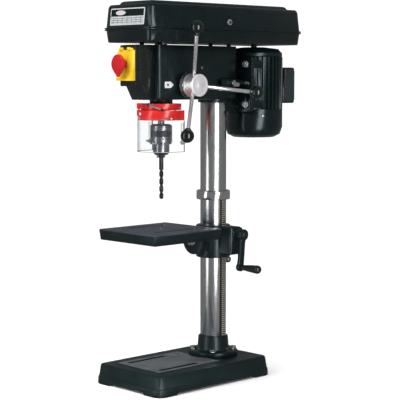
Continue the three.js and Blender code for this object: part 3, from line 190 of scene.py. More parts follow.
def faced_casting(name, face_height, bare, stained, metal):
    """Enamelled iron whose top face, above face_height in millimetres, is machined bare and oil stained."""
    g = Graph(name)
    height = g.node("ShaderNodeSeparateXYZ", {"Vector": g.place}).outputs["Z"]
    face = g.spread(height, (face_height - 0.3) * MM, (face_height + 0.3) * MM)
    paint = mottled_paint(g, CAST_DARK, CAST_LIGHT)
    marks = g.noise(1.0, 4, 0.7, g.stretched(900, 25, 25))
    cross = g.noise(1.0, 4, 0.7, g.stretched(25, 900, 25))
    iron = g.mix(g.spread(g.noise(14, 4, 0.6), 0.45, 0.7), bare, stained)
    g.set(Base_Color=g.mix(face, paint, iron), Metallic=g.math("MULTIPLY", face, metal))
    g.set(Specular_Tint=BLUE_SHEEN, Roughness=g.spread(marks, 0.3, 0.7, 0.32, 0.48))
    grinding = g.math("MULTIPLY", face, g.math("ADD", marks, g.math("MULTIPLY", cross, 0.5)))
    g.set(Normal=g.bump(g.noise(45, 2), 0.0015, 0.3, g.bump(grinding, 0.0003, 0.4)))
    return g.material


def turned_metal(name, tint, roughness, line_scale, stain=0.0, metal=1.0, relief=0.35):
    """Metal with fine turning lines round an upright axis, and a little staining."""
    g = Graph(name)
    lines = g.noise(1.0, 5, 0.7, g.stretched(30, 30, line_scale))
    blot = g.spread(g.noise(16, 5, 0.6), 0.52, 0.75)
    g.set(Base_Color=g.mix(g.math("MULTIPLY", blot, stain), tint, shade(tint, 0.45)))
    g.set(Metallic=metal, Roughness=g.spread(lines, 0.3, 0.7, roughness - 0.06, roughness + 0.08))
    g.set(Normal=g.bump(lines, 0.0002, relief))
    return g.material


def rack_steel():
    """Dull bronze-grey steel, with painted shade down between the teeth and lighter tips."""
    g = Graph("rack_steel")
    reach = g.node("ShaderNodeSeparateXYZ", {"Vector": g.place}).outputs["X"]
    rack_tip = ORIGIN.x + Box("rack").x1 * MM
    # The tip mask lays painted shade in the gaps between the teeth and leaves the tips at the lighter steel
    # colour.
    tip = g.spread(reach, rack_tip - 2.6 * MM, rack_tip - 0.4 * MM)
    grime = g.spread(g.noise(70, 4, 0.6), 0.35, 0.7, 0.75, 1.0)
    # This near-black colour is painted shade for the gaps between the teeth.
    gap_shade = colour(0.03, 0.028, 0.024)
    bright = colour(0.5, 0.46, 0.4)
    g.set(Base_Color=g.mix(g.math("MULTIPLY", tip, grime), gap_shade, bright))
    g.set(Metallic=0.5, Roughness=g.spread(g.noise(200, 3), 0.3, 0.7, 0.36, 0.55))
    g.set(Normal=g.bump(g.noise(400, 3), 0.0003, 0.4))
    return g.material


def plated(name, tint, roughness, metal=1.0):
    """Chrome plate: nearly clean, with faint smears in its gloss."""
    g = Graph(name)
    smear = g.noise(40, 4, 0.6)
    g.set(Base_Color=g.mix(g.spread(smear, 0.4, 0.8), tint, shade(tint, 0.86)))
    g.set(Metallic=metal, Roughness=g.spread(smear, 0.3, 0.75, roughness, roughness + 0.09))
    g.set(Normal=g.bump(g.noise(300, 2), 0.0002, 0.15))
    return g.material


def moulded(name, tint, roughness, coat=0.0, grain=0.12):
    """Moulded plastic or gloss enamel: slight colour drift, a fine texture and a varied gloss."""
    g = Graph(name)
    drift = g.spread(g.noise(25, 3), 0.35, 0.7)
    g.set(Base_Color=g.mix(drift, tint, shade(tint, 0.78)))
    g.set(Roughness=g.spread(g.noise(90, 3), 0.3, 0.7, roughness - 0.05, roughness + 0.07))
    g.set(Coat_Weight=coat, Coat_Roughness=0.08)
    g.set(Normal=g.bump(g.noise(500, 2), 0.0003, grain))
    return g.material


def clear_plastic():
    """Clear polycarbonate: nearly invisible face on, with painted reflection as pale cover at grazing angles,
    and milky along its rub marks.
    """
    g = Graph("clear_plastic")
    rubs = g.spread(g.noise(1.0, 5, 0.7, g.stretched(60, 60, 600)), 0.6, 0.8, 0.0, 0.06)
    # The pale cover at grazing angles is painted reflection, while the rub marks are real wear.
    edge = g.node("ShaderNodeLayerWeight", {"Blend": 0.35}).outputs["Facing"]
    cover = g.math("ADD", rubs, g.spread(edge, 0.35, 1.0, 0.045, 0.55))
    g.set(Base_Color=g.mix(rubs, colour(0.27, 0.33, 0.4), colour(0.5, 0.55, 0.6)), Alpha=cover)
    g.set(Roughness=g.spread(rubs, 0.0, 0.14, 0.08, 0.25))
    g.set(Normal=g.bump(g.noise(20, 2), 0.0005, 0.2))
    return g.material


def printed_chart():
    """A light printed panel, worn in patches."""
    g = Graph("printed_chart")
    wear = g.spread(g.noise(120, 4, 0.6), 0.45, 0.7)
    g.set(Base_Color=g.mix(wear, colour(0.55, 0.58, 0.6), colour(0.42, 0.45, 0.47)))
    g.set(Roughness=g.spread(g.noise(60, 3), 0.3, 0.7, 0.35, 0.5), Metallic=0.2)
    g.set(Normal=g.bump(g.noise(400, 2), 0.0002, 0.2))
    return g.material


TABLE_FACE = 350  # just under the work table's top
BASE_FACE = 45.6  # between the base's top and the top of its raised pad

LOOKS = {
    "cast_paint": enamel("cast_paint", CAST_DARK, CAST_LIGHT, 0.33, 0.45, 0.15),
    "sheet_paint": enamel("sheet_paint", SHEET_DARK, SHEET_LIGHT, 0.24, 0.2, 0.3),
    "motor_alloy": enamel("motor_alloy", CAST_DARK, CAST_LIGHT, 0.3, 0.3, 0.15),
    "ground_iron": faced_casting(
        "ground_iron", TABLE_FACE, colour(0.13, 0.135, 0.16), colour(0.075, 0.08, 0.095), 0.75
    ),
    "base_iron": faced_casting(
        "base_iron", BASE_FACE, colour(0.2, 0.21, 0.22), colour(0.11, 0.12, 0.125), 0.6
    ),
    "steel": turned_metal("steel", colour(0.74, 0.75, 0.76), 0.2, 2500, 0.25),
    "dark_steel": turned_metal("dark_steel", colour(0.2, 0.2, 0.2), 0.36, 1500, 0.5),
    "chrome": plated("chrome", colour(0.85, 0.86, 0.87), 0.09),
    "rod_chrome": plated("rod_chrome", colour(0.86, 0.87, 0.89), 0.17, 0.86),
    "rack_steel": rack_steel(),
    "white_steel": plated("white_steel", colour(0.8, 0.8, 0.8), 0.3, 0.3),
    "grip_steel": turned_metal("grip_steel", colour(0.07, 0.07, 0.068), 0.38, 1500, 0.3, 1.0, 0.15),
    "satin_steel": turned_metal("satin_steel", colour(0.3, 0.305, 0.32), 0.25, 1800, 0.2, 1.0, 0.1),
    "aluminium": turned_metal("aluminium", colour(0.76, 0.73, 0.75), 0.36, 1200, 0.1, 0.4),
    "red_paint": moulded("red_paint", colour(0.66, 0.012, 0.01), 0.28, 0.5),
    "yellow_plastic": moulded("yellow_plastic", colour(0.95, 0.62, 0.02), 0.34, 0.1),
    "red_plastic": moulded("red_plastic", colour(0.5, 0.01, 0.014), 0.3, 0.2),
    "green_plastic": moulded("green_plastic", colour(0.01, 0.25, 0.04), 0.35),
    "black_plastic": moulded("black_plastic", colour(0.006, 0.01, 0.009), 0.24, 0.3),
    "knob_plastic": moulded("knob_plastic", colour(0.0025, 0.0055, 0.005), 0.1, 0.5, 0.04),
    "slate_plastic": moulded("slate_plastic", colour(0.02, 0.032, 0.034), 0.4, 0.1, 0.3),
    "rim_plastic": moulded("rim_plastic", colour(0.3, 0.33, 0.36), 0.2, 0.3),
    "clear_plastic": clear_plastic(),
    "white_enamel": moulded("white_enamel", colour(0.85, 0.86, 0.86), 0.35, 0.2),
    "printed_chart": printed_chart(),
    "belt_rubber": moulded("belt_rubber", colour(0.012, 0.012, 0.012), 0.7, 0.0, 0.5),
}

# A CAD node's look has its slot's name, unless the node is listed here.
NODE_LOOKS = {
    "drill_bit": "grip_steel",
    "bracket_lock_lever": "dark_steel",
    "chuck_body": "satin_steel",
    "rack": "rack_steel",
    "base": "base_iron",
    "spindle": "satin_steel",
    "feed_rod_1": "rod_chrome",
    "feed_rod_2": "rod_chrome",
    "feed_rod_3": "rod_chrome",
}


# ---------------------------------------------------------------- mesh helpers


def smooth(obj, angle=40):
    """Shades the mesh smooth except across edges sharper than angle, in degrees."""
    obj.data.polygons.foreach_set("use_smooth", [True] * len(obj.data.polygons))
    obj.data.set_sharp_from_angle(angle=math.radians(angle))


def soften(obj, width, segments=2, angle=40):
    """Rounds the sharp edges, in millimetres."""
    bevel = obj.modifiers.new("edges", "BEVEL")
    bevel.width = width * MM
    bevel.segments = segments
    bevel.limit_method = "ANGLE"
    bevel.angle_limit = math.radians(angle)
    bevel.harden_normals = True


def dress_cad_nodes():
    """Gives each CAD node its material, smooth sides and rounded edges."""
    slots = {row["node"]: row["material_slot"] for row in frame["record"]["subparts"]}
    for name, obj in frame["nodes"].items():
        obj.data.materials.clear()
        obj.data.materials.append(LOOKS[NODE_LOOKS.get(name, slots[name])])
        weld = obj.modifiers.new("weld", "WELD")
        weld.merge_threshold = 0.02 * MM
        smooth(obj)
        # The table turns closely round the tilt bolt, and rounded edges on the bolt touched it there.
        if name != "tilt_bolt":
            soften(obj, 0.7)


# Local axes of a face: x and y lie in it, and z points out of it.
FACES = {
    "up": Matrix.Identity(4),
    "front": Matrix(((1, 0, 0, 0), (0, 0, -1, 0), (0, 1, 0, 0), (0, 0, 0, 1))),
    "back": Matrix(((-1, 0, 0, 0), (0, 0, 1, 0), (0, 1, 0, 0), (0, 0, 0, 1))),
    "right": Matrix(((0, 0, 1, 0), (1, 0, 0, 0), (0, 1, 0, 0), (0, 0, 0, 1))),
    "left": Matrix(((0, 0, -1, 0), (-1, 0, 0, 0), (0, 1, 0, 0), (0, 0, 0, 1))),
}


def facing(face, x, y, z, lean=0.0):
    """Where a piece goes: a face, a place in millimetres, and a lean of the face about X in radians."""
    return Matrix.Translation((x, y, z)) @ Matrix.Rotation(lean, 4, "X") @ FACES[face]


def along(start, end):
    """A frame at start whose z axis runs to end."""
    direction = Vector(end) - Vector(start)
    return Matrix.Translation(start) @ direction.to_track_quat("Z", "Y").to_matrix().to_4x4()


def spread_angles(first, last, count):
    """Angles in equal steps, with both ends."""
    return [first + (last - first) * i / (count - 1) for i in range(count)]


def quarter_turn(steps):
    return spread_angles(0, math.pi / 2, steps + 1)


def on_circle(radius, angle):
    return (radius * math.cos(angle), radius * math.sin(angle))


def lathe(profile, sides=ROUND):
    """A solid turned about z from (radius, height) points that start and end on the axis or join up."""
    bm = bmesh.new()
    points = [bm.verts.new((radius, 0, height)) for radius, height in profile]
    edges = [bm.edges.new(pair) for pair in zip(points, points[1:])]
    bmesh.ops.spin(bm, geom=points + edges, axis=(0, 0, 1), cent=(0, 0, 0), angle=FULL_TURN, steps=sides)
    bmesh.ops.remove_doubles(bm, verts=bm.verts, dist=SEAM)
    return bm


def extruded(outline, low, high):
    """A solid with the outline in its x-y plane."""
    bm = bmesh.new()
    rings = [[bm.verts.new((x, y, height)) for x, y in outline] for height in (low, high)]
    for ring in rings:
        bm.faces.new(ring)
    count = len(outline)
    for i in range(count):
        j = (i + 1) % count
        bm.faces.new((rings[0][i], rings[0][j], rings[1][j], rings[1][i]))
    return bm


def rounded(half_x, half_y, corner, steps=6):
    """A rectangle with round corners."""
    points = []
    for quarter, (side_x, side_y) in enumerate(((1, 1), (-1, 1), (-1, -1), (1, -1))):
        for step in range(steps + 1):
            angle = math.radians(90 * (quarter + step / steps))
            x = side_x * (half_x - corner) + corner * math.cos(angle)
            y = side_y * (half_y - corner) + corner * math.sin(angle)
            points.append((x, y))
    return points


def piece(name, bm, place, look, body, edge=0.0, angle=40, stands_for=()):
    """Makes a named piece from a shape, lets it ride on a body, and rounds its sharp edges by edge."""
    bm.transform(Matrix.Translation(ORIGIN) @ Matrix.Scale(MM, 4) @ place)
    bmesh.ops.recalc_face_normals(bm, faces=bm.faces)
    mesh = bpy.data.meshes.new(name)
    bm.to_mesh(mesh)
    bm.free()
    mesh.materials.append(LOOKS[look])
    obj = bpy.data.objects.new(name, mesh)
    bpy.context.scene.collection.objects.link(obj)
    smooth(obj, angle)
    if edge:
        soften(obj, edge)
    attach(obj, body)
    if stands_for:
        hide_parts(*stands_for)
    return obj


def screw(name, place, radius, body, look="chrome"):
    """A round screw head: a dome with a sunk cone in its middle for the driver."""
    height = radius * 0.55
    recess = radius * 0.3
    dome = [(radius * math.cos(t), height * (0.35 + 0.65 * math.sin(t))) for t in quarter_turn(6)]
    dome = [point for point in dome if point[0] > recess]
    sunk = [(recess, height * 0.9), (0, height * 0.45)]
    piece(name, lathe([(0, -0.5), (radius, -0.5)] + dome + sunk, 32), place, look, body)


def hex_head(name, place, across, height, washer, body, look):
    """A hexagon bolt head with rounded edges, on a washer."""
    corner = across / math.sqrt(3)
    outline = [on_circle(corner, math.radians(60 * i)) for i in range(6)]
    ring = [(0, -0.4), (washer, -0.4), (washer, 1.2), (0, 1.2)]
    piece(name + "_washer", lathe(ring, 48), place, look, body, edge=0.3)
    piece(name, extruded(outline, 1.0, height), place, look, body, edge=0.8)


# ---------------------------------------------------------------- feed handle

BALL_RADIUS = 14.7
ROD_MEETING_X = 69.9  # where the lines of the three rods meet on the hub's axis
DIAL_MARKS = 40
hub = Box("feed_hub")
cap = Box("hub_cap")
dial = Box("depth_dial")


def make_hub():
    """The drum, whose neck passes through the dial and whose flange stands before it."""
    neck = 16
    foot = dial.x1 - hub.x0  # the dial's outer face
    length = hub.x1 - hub.x0
    drum = [(0, 0), (neck, 0), (neck, foot + 0.3), (24.4, foot + 0.3), (25.6, foot + 1.0), (26, foot + 2.2)]
    drum += [(25.4, foot + 5), (24.6, foot + 5.6), (24.2, foot + 6.8)]
    drum += [(22.8, length - 4), (22.5, length - 3), (22.0, length), (0, length)]
    place = facing("right", hub.x0, hub.y, hub.z)
    piece("feed_drum", lathe(drum), place, "rod_chrome", "feed_handle", stands_for=("feed_hub",))


def make_cap():
    """The disc over the drum's end, with a raised rim and a raised middle."""
    radius = 24.6
    top = cap.x1 - cap.x0
    sunk = top - 0.8
    face = [(0, 0), (radius, 0), (radius, top - 1.6), (radius - 0.5, top - 0.7), (22.8, top - 0.2)]
    face += [(20.6, top - 0.2), (20.0, sunk), (7.5, sunk), (6.5, top), (0, top)]
    place = facing("right", cap.x0, hub.y, hub.z)
    piece("feed_cap", lathe(face), place, "aluminium", "feed_handle", stands_for=("hub_cap",))


def make_dial():
    """The depth dial, with painted marks round its rim, every fifth one longer."""
    bore = 16.3
    radius = 28.4
    width = dial.x1 - dial.x0
    place = facing("right", dial.x0, hub.y, hub.z)
    profile = [(bore, 0), (radius - 0.7, 0), (radius, 0.7), (radius, width - 1.5)]
    profile += [(radius - 0.8, width - 0.4), (radius - 2, width), (bore, width), (bore, 0)]
    piece("depth_disc", lathe(profile), place, "black_plastic", "depth_stop", stands_for=("depth_dial",))
    inside, outside = radius - 0.2, radius + 0.02
    outline = [(outside, -0.2), (outside, 0.2), (inside, 0.2), (inside, -0.2)]
    end = width - 1.6
    for i in range(DIAL_MARKS):
        length = 3.4 if i % 5 == 0 else 2.0
        mark = extruded(outline, end - length, end)
        mark.transform(Matrix.Rotation(math.radians(360 / DIAL_MARKS * i), 4, "Z"))
        piece(f"dial_mark_{i + 1}", mark, place, "white_enamel", "depth_stop")


def ball_centre(node):
    """The ball's middle: its radius in from the box sides that lie away from the hub."""
    box = Box(node)
    y = box.y1 - BALL_RADIUS if box.y > hub.y else box.y0 + BALL_RADIUS
    z = box.z1 - BALL_RADIUS if box.z > hub.z else box.z0 + BALL_RADIUS
    return Vector((box.x1 - BALL_RADIUS, y, z))


def make_knobs():
    """The ball knobs, each with a short neck towards its rod."""
    root = Vector((ROD_MEETING_X, hub.y, hub.z))
    neck = [(0, -17.5), (6.0, -17.5), (7.6, -16.6), (8.0, -14.5)]
    neck_angle = 0.62
    turns = spread_angles(neck_angle, math.pi, 28)[:-1]
    ball = [(BALL_RADIUS * math.sin(t), -BALL_RADIUS * math.cos(t)) for t in turns]
    profile = neck + ball + [(0, BALL_RADIUS)]
    for i in (1, 2, 3):
        node = f"feed_knob_{i}"
        centre = ball_centre(node)
        place = along(centre, centre * 2 - root)
        piece(f"knob_{i}", lathe(profile), place, "knob_plastic", "feed_handle", stands_for=(node,))


# ---------------------------------------------------------------- chuck

GRIP_FLUTES = 72
KEY_TEETH = 28
sleeve = Box("chuck_sleeve")


def toothed(inner, outer, teeth, flat):
    """A ring of straight teeth: flat is the share of each tooth's pitch that its tip fills."""
    points = []
    for i in range(teeth):
        for share, radius in ((0.0, inner), (0.5 - flat / 2, outer), (0.5 + flat / 2, outer)):
            points.append(on_circle(radius, FULL_TURN * (i + share) / teeth))
    return points


def ring_solid(outline, bore, low, high):
    """An extruded outline round a bore of as many sides."""
    bm = bmesh.new()
    holes = [(bore * x / math.hypot(x, y), bore * y / math.hypot(x, y)) for x, y in outline]
    rings = []
    for height in (low, high):
        for loop in (outline, holes):
            rings.append([bm.verts.new((x, y, height)) for x, y in loop])
    pairs = ((0, 1), (1, 3), (3, 2), (2, 0))
    count = len(outline)
    for a, b in pairs:
        for i in range(count):
            j = (i + 1) % count
            bm.faces.new((rings[a][i], rings[a][j], rings[b][j], rings[b][i]))
    return bm


def make_chuck():
    """The chuck's sleeve: key teeth at its foot, a plain shell, and a fluted grip above."""
    place = facing("up", 0, sleeve.y, 0)
    bore = 18.8
    radius = 24.6
    teeth_top = sleeve.z0 + 4.2
    grip_foot = sleeve.z0 + 17.1
    shell = [(bore, teeth_top), (radius - 0.3, teeth_top), (radius, teeth_top + 0.8)]
    shell += [(radius, grip_foot - 0.8), (radius - 0.6, grip_foot), (bore, grip_foot), (bore, teeth_top)]
    piece("sleeve_shell", lathe(shell), place, "satin_steel", "chuck_key_ring", stands_for=("chuck_sleeve",))
    flutes = toothed(radius - 1, radius - 0.1, GRIP_FLUTES, 0.4)
    grip = ring_solid(flutes, bore, grip_foot, sleeve.z1)
    piece("sleeve_grip", grip, place, "grip_steel", "chuck_key_ring", angle=25)
    key_teeth = toothed(radius - 2.8, radius, KEY_TEETH, 0.35)
    teeth = ring_solid(key_teeth, bore, sleeve.z0, teeth_top)
    piece("sleeve_teeth", teeth, place, "satin_steel", "chuck_key_ring", angle=25)


# ---------------------------------------------------------------- crank

grip_box = Box("crank_grip")


def make_grip():
    """The crank's handle: a collar at the arm, then a body that swells to a round end."""
    length = grip_box.x1 - grip_box.x0
    end_radius, end_depth = 9.5, 8
    profile = [(0, 0), (6.0, 0), (6.4, 0.8), (5.9, 3), (6.1, 7), (8.0, length * 0.45), (9.4, length - 12)]
    for turn in quarter_turn(8)[:-1]:
        profile.append((end_radius * math.cos(turn), length - end_depth + end_depth * math.sin(turn)))
    profile.append((0, length))
    place = facing("right", grip_box.x0, grip_box.y, grip_box.z)
    piece("grip", lathe(profile, 64), place, "black_plastic", "crank_handle", stands_for=("crank_grip",))


# ---------------------------------------------------------------- belt guard

lid = Box("belt_guard_lid")
LID_LEAN = -math.atan2(4.5, 42)  # the slope of the lid's front, as back over up
LABEL_HEIGHT = 820
LABEL_INSET = 6.9  # from the lid's foremost edge back to its sloping front at that height
CATCH_Y, CATCH_HEIGHT = -25, 812
POST_PLACES = ((30, -186), (30, -96), (-30, -186), (-30, -96), (30, 14), (-30, 14))


def moved(outline, x, y):
    return [(x + dx, y + dy) for dx, dy in outline]


def make_label():
    """The silver plate on the lid's front, with a dark band and a light chart, and no lettering."""
    place = facing("front", 0, lid.y0 + LABEL_INSET, LABEL_HEIGHT, LID_LEAN)
    panel_half = 53.5
    band_y, chart_y = 8.4, -8.2
    plate = rounded(56, 18.5, 2.5)
    piece("label_plate", extruded(plate, -0.6, 0.7), place, "aluminium", "belt_lid", edge=0.25)
    band = moved(rounded(panel_half, 7.6, 1), 0, band_y)
    piece("label_band", extruded(band, 0.6, 0.95), place, "sheet_paint", "belt_lid", edge=0.1)
    chart = moved(rounded(panel_half, 7.4, 1), 0, chart_y)
    piece("label_chart", extruded(chart, 0.6, 0.9), place, "printed_chart", "belt_lid", edge=0.1)
    oval = [(16 * math.cos(t), 5.2 * math.sin(t)) for t in spread_angles(0, FULL_TURN, 49)[:-1]]
    badge = moved(oval, -22, band_y)
    piece("label_badge", extruded(badge, 0.9, 1.4), place, "aluminium", "belt_lid", edge=0.2)
    for i in range(7):
        rule = moved(rounded(0.35, 6.6, 0.2, 2), -45 + 15 * i, chart_y)
        piece(f"chart_rule_{i + 1}", extruded(rule, 0.85, 1.1), place, "sheet_paint", "belt_lid")
    for i in range(3):
        line = moved(rounded(52, 0.3, 0.2, 2), 0, -3.4 - 4.4 * i)
        piece(f"chart_line_{i + 1}", extruded(line, 0.85, 1.1), place, "sheet_paint", "belt_lid")
    for i, x in enumerate((-53.6, 53.6)):
        screw(f"label_screw_{i + 1}", place @ Matrix.Translation((x, 0.1, 0.9)), 1.7, "belt_lid")


def make_lid_catch():
    """The round catch on the lid's right side: a bright ring round a dark pin."""
    place = facing("right", lid.x1 - 6.0, CATCH_Y, CATCH_HEIGHT)
    ring = [(0, -2), (6.6, -2), (6.6, 1.2), (6.0, 2.0), (4.6, 2.0), (4.2, 1.2), (0, 1.2)]
    piece("lid_catch_ring", lathe(ring, 48), place, "rod_chrome", "belt_lid")
    pin = [(0, 0.8), (3.4, 0.8), (3.4, 3.2), (2.6, 4.2), (0, 4.4)]
    piece("lid_catch_pin", lathe(pin, 32), place, "dark_steel", "belt_lid")


def make_posts():
    """The posts that hold the belt guard above the head, sunk a little into both."""
    head = Box("head_casting")
    gap = Box("belt_guard_pan").z0 - head.z1
    radius = 7.5
    profile = [(0, 0), (radius, 0), (radius, gap + 0.6), (0, gap + 0.6)]
    for i, (x, y) in enumerate(POST_PLACES):
        place = facing("up", x, y, head.z1 - 0.4)
        piece(f"guard_post_{i + 1}", lathe(profile, 48), place, "cast_paint", "frame")


# ---------------------------------------------------------------- head

HEAD_SIDE = 42  # x of the head casting's right side
HEAD_SCREW_Y, HEAD_SCREW_HEIGHT = -76, 711


def make_pointer():
    """The white pointer that the depth dial is read against, and its screw."""
    middle, half = 673, 7
    rear, shoulder, tip = -189, -172, -163.5
    outline = [(rear, middle - half), (shoulder, middle - half), (tip, middle)]
    outline += [(shoulder, middle + half), (rear, middle + half)]
    place = facing("right", HEAD_SIDE, 0, 0)
    thickness = 1.2
    piece("depth_pointer", extruded(outline, -0.5, thickness), place, "white_enamel", "frame", edge=0.4)
    place = facing("right", HEAD_SIDE + thickness, rear + 8, middle)
    screw("pointer_screw", place, 2.6, "frame", "black_plastic")


def make_head_screw():
    place = facing("right", HEAD_SIDE, HEAD_SCREW_Y, HEAD_SCREW_HEIGHT)
    screw("head_set_screw", place, 4.0, "frame", "dark_steel")


def make_flap_trim():
    """The flap's two hinge barrels and the lip that it is lifted by."""
    flap = Box("switch_flap")
    barrel_offset = 13
    barrel = [(0, -4.5), (2.9, -4.5), (3.4, -4.0), (3.4, 4.0), (2.9, 4.5), (0, 4.5)]
    for name, x in (("left", flap.x - barrel_offset), ("right", flap.x + barrel_offset)):
        place = facing("right", x, flap.y0 + 7, flap.z1 - 2.2)
        piece(f"flap_hinge_{name}", lathe(barrel, 40), place, "yellow_plastic", "flap")
    lip = rounded(11, 1.6, 1.2)
    place = facing("front", flap.x - 2, flap.y0 + 6, flap.z0 + 3.2)
    piece("flap_lip", extruded(lip, 0, 5.2), place, "yellow_plastic", "flap", edge=0.4)


# ---------------------------------------------------------------- motor

MOTOR_BOLT_X = 50.5
MOTOR_BOLT_ROWS = (627.5, 719.7)
FAN_SCREW_HEIGHT = 600


def outward(degrees):
    """A level direction, turned from the front towards the right."""
    angle = math.radians(degrees)
    return Vector((math.sin(angle), -math.cos(angle), 0))


def make_motor_bolts():
    """The bolts at the motor plate's corners, and two screws in the fan cover's side."""
    plate = Box("motor_plate")
    corners = [(x, z) for z in MOTOR_BOLT_ROWS for x in (-MOTOR_BOLT_X, MOTOR_BOLT_X)]
    for i, (x, z) in enumerate(corners):
        place = facing("front", x, plate.y0, z)
        name = f"motor_bolt_{i + 1}"
        hex_head(name, place, across=12, height=6.5, washer=8, body="motor_carriage", look="rod_chrome")
    shell = Box("motor_fan_cover")
    reach = (shell.x1 - shell.x0) / 2
    for i, degrees in enumerate((-58, 62)):
        out = outward(degrees)
        start = Vector((0, shell.y, FAN_SCREW_HEIGHT)) + out * (reach - 0.3)
        screw(f"fan_screw_{i + 1}", along(start, start + out), 4.4, "motor_carriage", "satin_steel")


def make_capacitor_panels():
    """The covers on the capacitor box's back and right side."""
    box = Box("capacitor_box")
    margin = 5
    half_x = (box.x1 - box.x0) / 2 - margin
    half_z = (box.z1 - box.z0) / 2 - margin
    place = facing("back", box.x, box.y1 - 1.2, box.z)
    panel = extruded(rounded(half_x, half_z, 6), 0, 1.1)
    piece("capacitor_back_panel", panel, place, "sheet_paint", "motor_carriage", edge=0.4)
    half_y = (box.y1 - box.y0) / 2 - 4.5
    place = facing("right", box.x1 - 0.8, box.y - 0.5, box.z)
    panel = extruded(rounded(half_y, half_z, 5), 0, 1.4)
    piece("capacitor_side_panel", panel, place, "slate_plastic", "motor_carriage", edge=0.4)


# ---------------------------------------------------------------- chuck guard

collar = Box("guard_collar")
shield = Box("guard_shield")
BAND_RADIUS = 51.5
COLLAR_SIDE = 45  # x of the collar's right side
RIVETS = ((-22, 599, 2.0), (74, 599, 2.0), (-16, 609, 3.6))  # degrees, height, radius
SLOT_EDGES = (11.4, 17.1)  # how far behind the collar's middle each slot's two edges are
SLOT_BOTTOM, SLOT_TOP = 541, 590
SHIELD_TOP = 594  # just under the guard band


def make_guard_trim():
    """The band's rivets, the collar's clamp screw, and the rod that crosses the collar's front."""
    for i, (degrees, z, radius) in enumerate(RIVETS):
        out = outward(degrees)
        start = Vector((0, collar.y, z)) + out * BAND_RADIUS
        screw(f"band_rivet_{i + 1}", along(start, start + out), radius, "guard_door", "white_steel")
    screw("collar_screw", facing("right", COLLAR_SIDE, collar.y, collar.z), 4.2, "quill_unit")
    rod_start = Vector((10, collar.y - 46, 630))
    rod_end = Vector((50, collar.y - 42, 619))
    length = (rod_end - rod_start).length
    radius = 1.9
    rod = [(0, 0), (radius - 0.4, 0), (radius, 0.4)]
    rod += [(radius, length - 0.4), (radius - 0.4, length), (0, length)]
    piece("guard_spring_rod", lathe(rod, 24), along(rod_start, rod_end), "rod_chrome", "quill_unit")
    end = [(0, -2.6), (2.4, -2.6), (3.2, -1.8), (3.2, 1.8), (2.4, 2.6), (0, 2.6)]
    for i, centre in enumerate((rod_start, rod_end)):
        place = along(centre, centre + rod_end - rod_start)
        piece(f"guard_rod_end_{i + 1}", lathe(end, 32), place, "black_plastic", "quill_unit")


def shield_track(radius, back):
    """The shield seen from above: straight sides from the back, joined by a half circle at the front."""
    arc = [(radius * math.cos(t), -radius * math.sin(t)) for t in spread_angles(0, math.pi, 49)]
    return [(radius, back)] + arc + [(-radius, back)]


def upright_bar(inside, outside, side, front, back):
    """The outline of a bar on one of the shield's sides."""
    return [(side * outside, front), (side * inside, front), (side * inside, back), (side * outside, back)]


def make_shield_trim():
    """The rim round the shield's foot, its rear edges, and the raised edges of its two slots."""
    half = (shield.x1 - shield.x0) / 2
    middle = half - 0.9
    back = shield.y1 - collar.y
    place = facing("up", 0, collar.y, 0)
    rim = shield_track(middle + 1.1, back) + shield_track(middle - 1.0, back)[::-1]
    foot = extruded(rim, shield.z0 - 0.1, shield.z0 + 1.3)
    piece("shield_rim", foot, place, "rim_plastic", "shield")
    for side, name in ((1, "right"), (-1, "left")):
        edge = upright_bar(half - 2, half + 0.15, side, back - 1.6, back + 0.1)
        piece(f"shield_edge_{name}", extruded(edge, shield.z0, SHIELD_TOP), place, "rim_plastic", "shield")
        for i, y in enumerate(SLOT_EDGES):
            bar = upright_bar(half - 1, half + 0.5, side, y - 0.4, y + 0.4)
            lip = extruded(bar, SLOT_BOTTOM, SLOT_TOP)
            piece(f"slot_edge_{name}_{i + 1}", lip, place, "rim_plastic", "shield")


def make_wing_nuts():
    """A wing nut at the foot of each of the shield's slots."""
    half = (shield.x1 - shield.x0) / 2
    boss = [(0, -0.2), (4.2, -0.2), (4.2, 1.5), (3.2, 4.5), (0, 5)]
    wings = [(-9, 2), (-6.5, -2.2), (6.5, -2.2), (9, 2), (6.5, 3.4), (2.5, 1.6), (-2.5, 1.6), (-6.5, 3.4)]
    for side, face in ((1, "right"), (-1, "left")):
        name = f"wing_nut_{face}"
        place = facing(face, side * half, collar.y + 14, SLOT_BOTTOM + 5)
        piece(name + "_boss", lathe(boss, 32), place, "rod_chrome", "shield")
        raised = place @ Matrix.Translation((0, 0, 1.4))
        piece(name + "_wings", extruded(wings, 0, 2.6), raised, "rod_chrome", "shield", edge=0.5)


dress_cad_nodes()
make_hub()
make_cap()
make_dial()
make_knobs()
make_chuck()
make_grip()
make_label()
make_lid_catch()
make_posts()
make_pointer()
make_head_screw()
make_flap_trim()
make_motor_bolts()
make_capacitor_panels()
make_guard_trim()
make_shield_trim()
make_wing_nuts()


# ---------------------------------------------------------------- stage

FLOOR_RADIUS = 0.8
STUDIO_GLOW = 0.17  # how bright the studio is in reflections
BACKGROUND = 1.1
SOFTBOX_DISTANCE = 2.2
SUN_DISTANCE = 3.0


def make_stage():
    bpy.ops.mesh.primitive_circle_add(vertices=128, radius=FLOOR_RADIUS, fill_type="NGON", location=(0, 0, 0))
    floor = bpy.context.object
    floor.name = "floor"
    g = Graph("floor")
    g.set(Base_Color=colour(0.92, 0.92, 0.92), Roughness=0.9, Specular_IOR_Level=0.1)
    floor.data.materials.append(g.material)
    floor.visible_glossy = False
    floor.visible_shadow = False


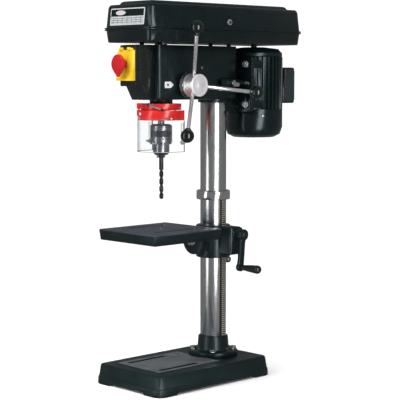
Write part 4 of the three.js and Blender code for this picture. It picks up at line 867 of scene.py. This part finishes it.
def make_world():
    """White to the camera, and dim in reflections, so that dark paint stays dark."""
    world = bpy.data.worlds.new("studio")
    world.use_nodes = True
    tree = world.node_tree
    background = tree.nodes["Background"]
    seen = tree.nodes.new("ShaderNodeLightPath").outputs["Is Camera Ray"]
    strength = tree.nodes.new("ShaderNodeMix")
    strength.inputs["A"].default_value = STUDIO_GLOW
    strength.inputs["B"].default_value = BACKGROUND
    tree.links.new(seen, strength.inputs["Factor"])
    tree.links.new(strength.outputs["Result"], background.inputs["Strength"])
    background.inputs["Color"].default_value = colour(1, 1, 1)
    bpy.context.scene.world = world
    bpy.context.scene.view_settings.view_transform = "Standard"


def aim(light, azimuth, elevation, distance):
    """Points a light at the object's middle; azimuth 0 is in front, and 90 at the right."""
    middle = (cad_box[0] + cad_box[1]) / 2
    a, e = math.radians(azimuth), math.radians(elevation)
    away = Vector((math.sin(a) * math.cos(e), -math.cos(a) * math.cos(e), math.sin(e)))
    light.location = middle + away * distance
    light.rotation_euler = (-away).to_track_quat("-Z", "Y").to_euler()
    light.visible_camera = False
    bpy.context.scene.collection.objects.link(light)


def softbox(name, azimuth, elevation, size, power):
    """A panel of light, which shows in the bright metal as a long streak."""
    data = bpy.data.lights.new(name, "AREA")
    data.shape = "RECTANGLE"
    data.size, data.size_y = size
    data.energy = power
    aim(bpy.data.objects.new(name, data), azimuth, elevation, SOFTBOX_DISTANCE)


def broad_light(name, azimuth, elevation, spread, strength):
    """An even light over the whole set, kept out of the reflections."""
    data = bpy.data.lights.new(name, "SUN")
    data.angle = math.radians(spread)
    data.energy = strength
    light = bpy.data.objects.new(name, data)
    light.visible_glossy = False
    aim(light, azimuth, elevation, SUN_DISTANCE)


# The photograph's camera, fitted to the edges of the base, table, guard and lid. Angles are in degrees, and
# the rest is in millimetres.
CAMERA_AZIMUTH = 46.236
CAMERA_PITCH = 5.2635
CAMERA_PLACE = (2188.7, -2138.7, 688.0)
LENS = 119.22
SENSOR = 36


def make_camera():
    data = bpy.data.cameras.new("camera")
    data.lens = LENS
    data.sensor_width = SENSOR
    camera = bpy.data.objects.new("camera", data)
    camera.location = ORIGIN + Vector(CAMERA_PLACE) * MM
    camera.rotation_euler = (math.radians(90 - CAMERA_PITCH), 0, math.radians(CAMERA_AZIMUTH))
    bpy.context.scene.collection.objects.link(camera)
    bpy.context.scene.camera = camera


make_stage()
make_world()
softbox("key", azimuth=71, elevation=3, size=(0.8, 2.8), power=42)
softbox("fill", azimuth=-12, elevation=3, size=(0.6, 2.8), power=13)
broad_light("overhead", azimuth=-20, elevation=72, spread=70, strength=3.0)
broad_light("front", azimuth=5, elevation=30, spread=50, strength=1.6)
make_camera()
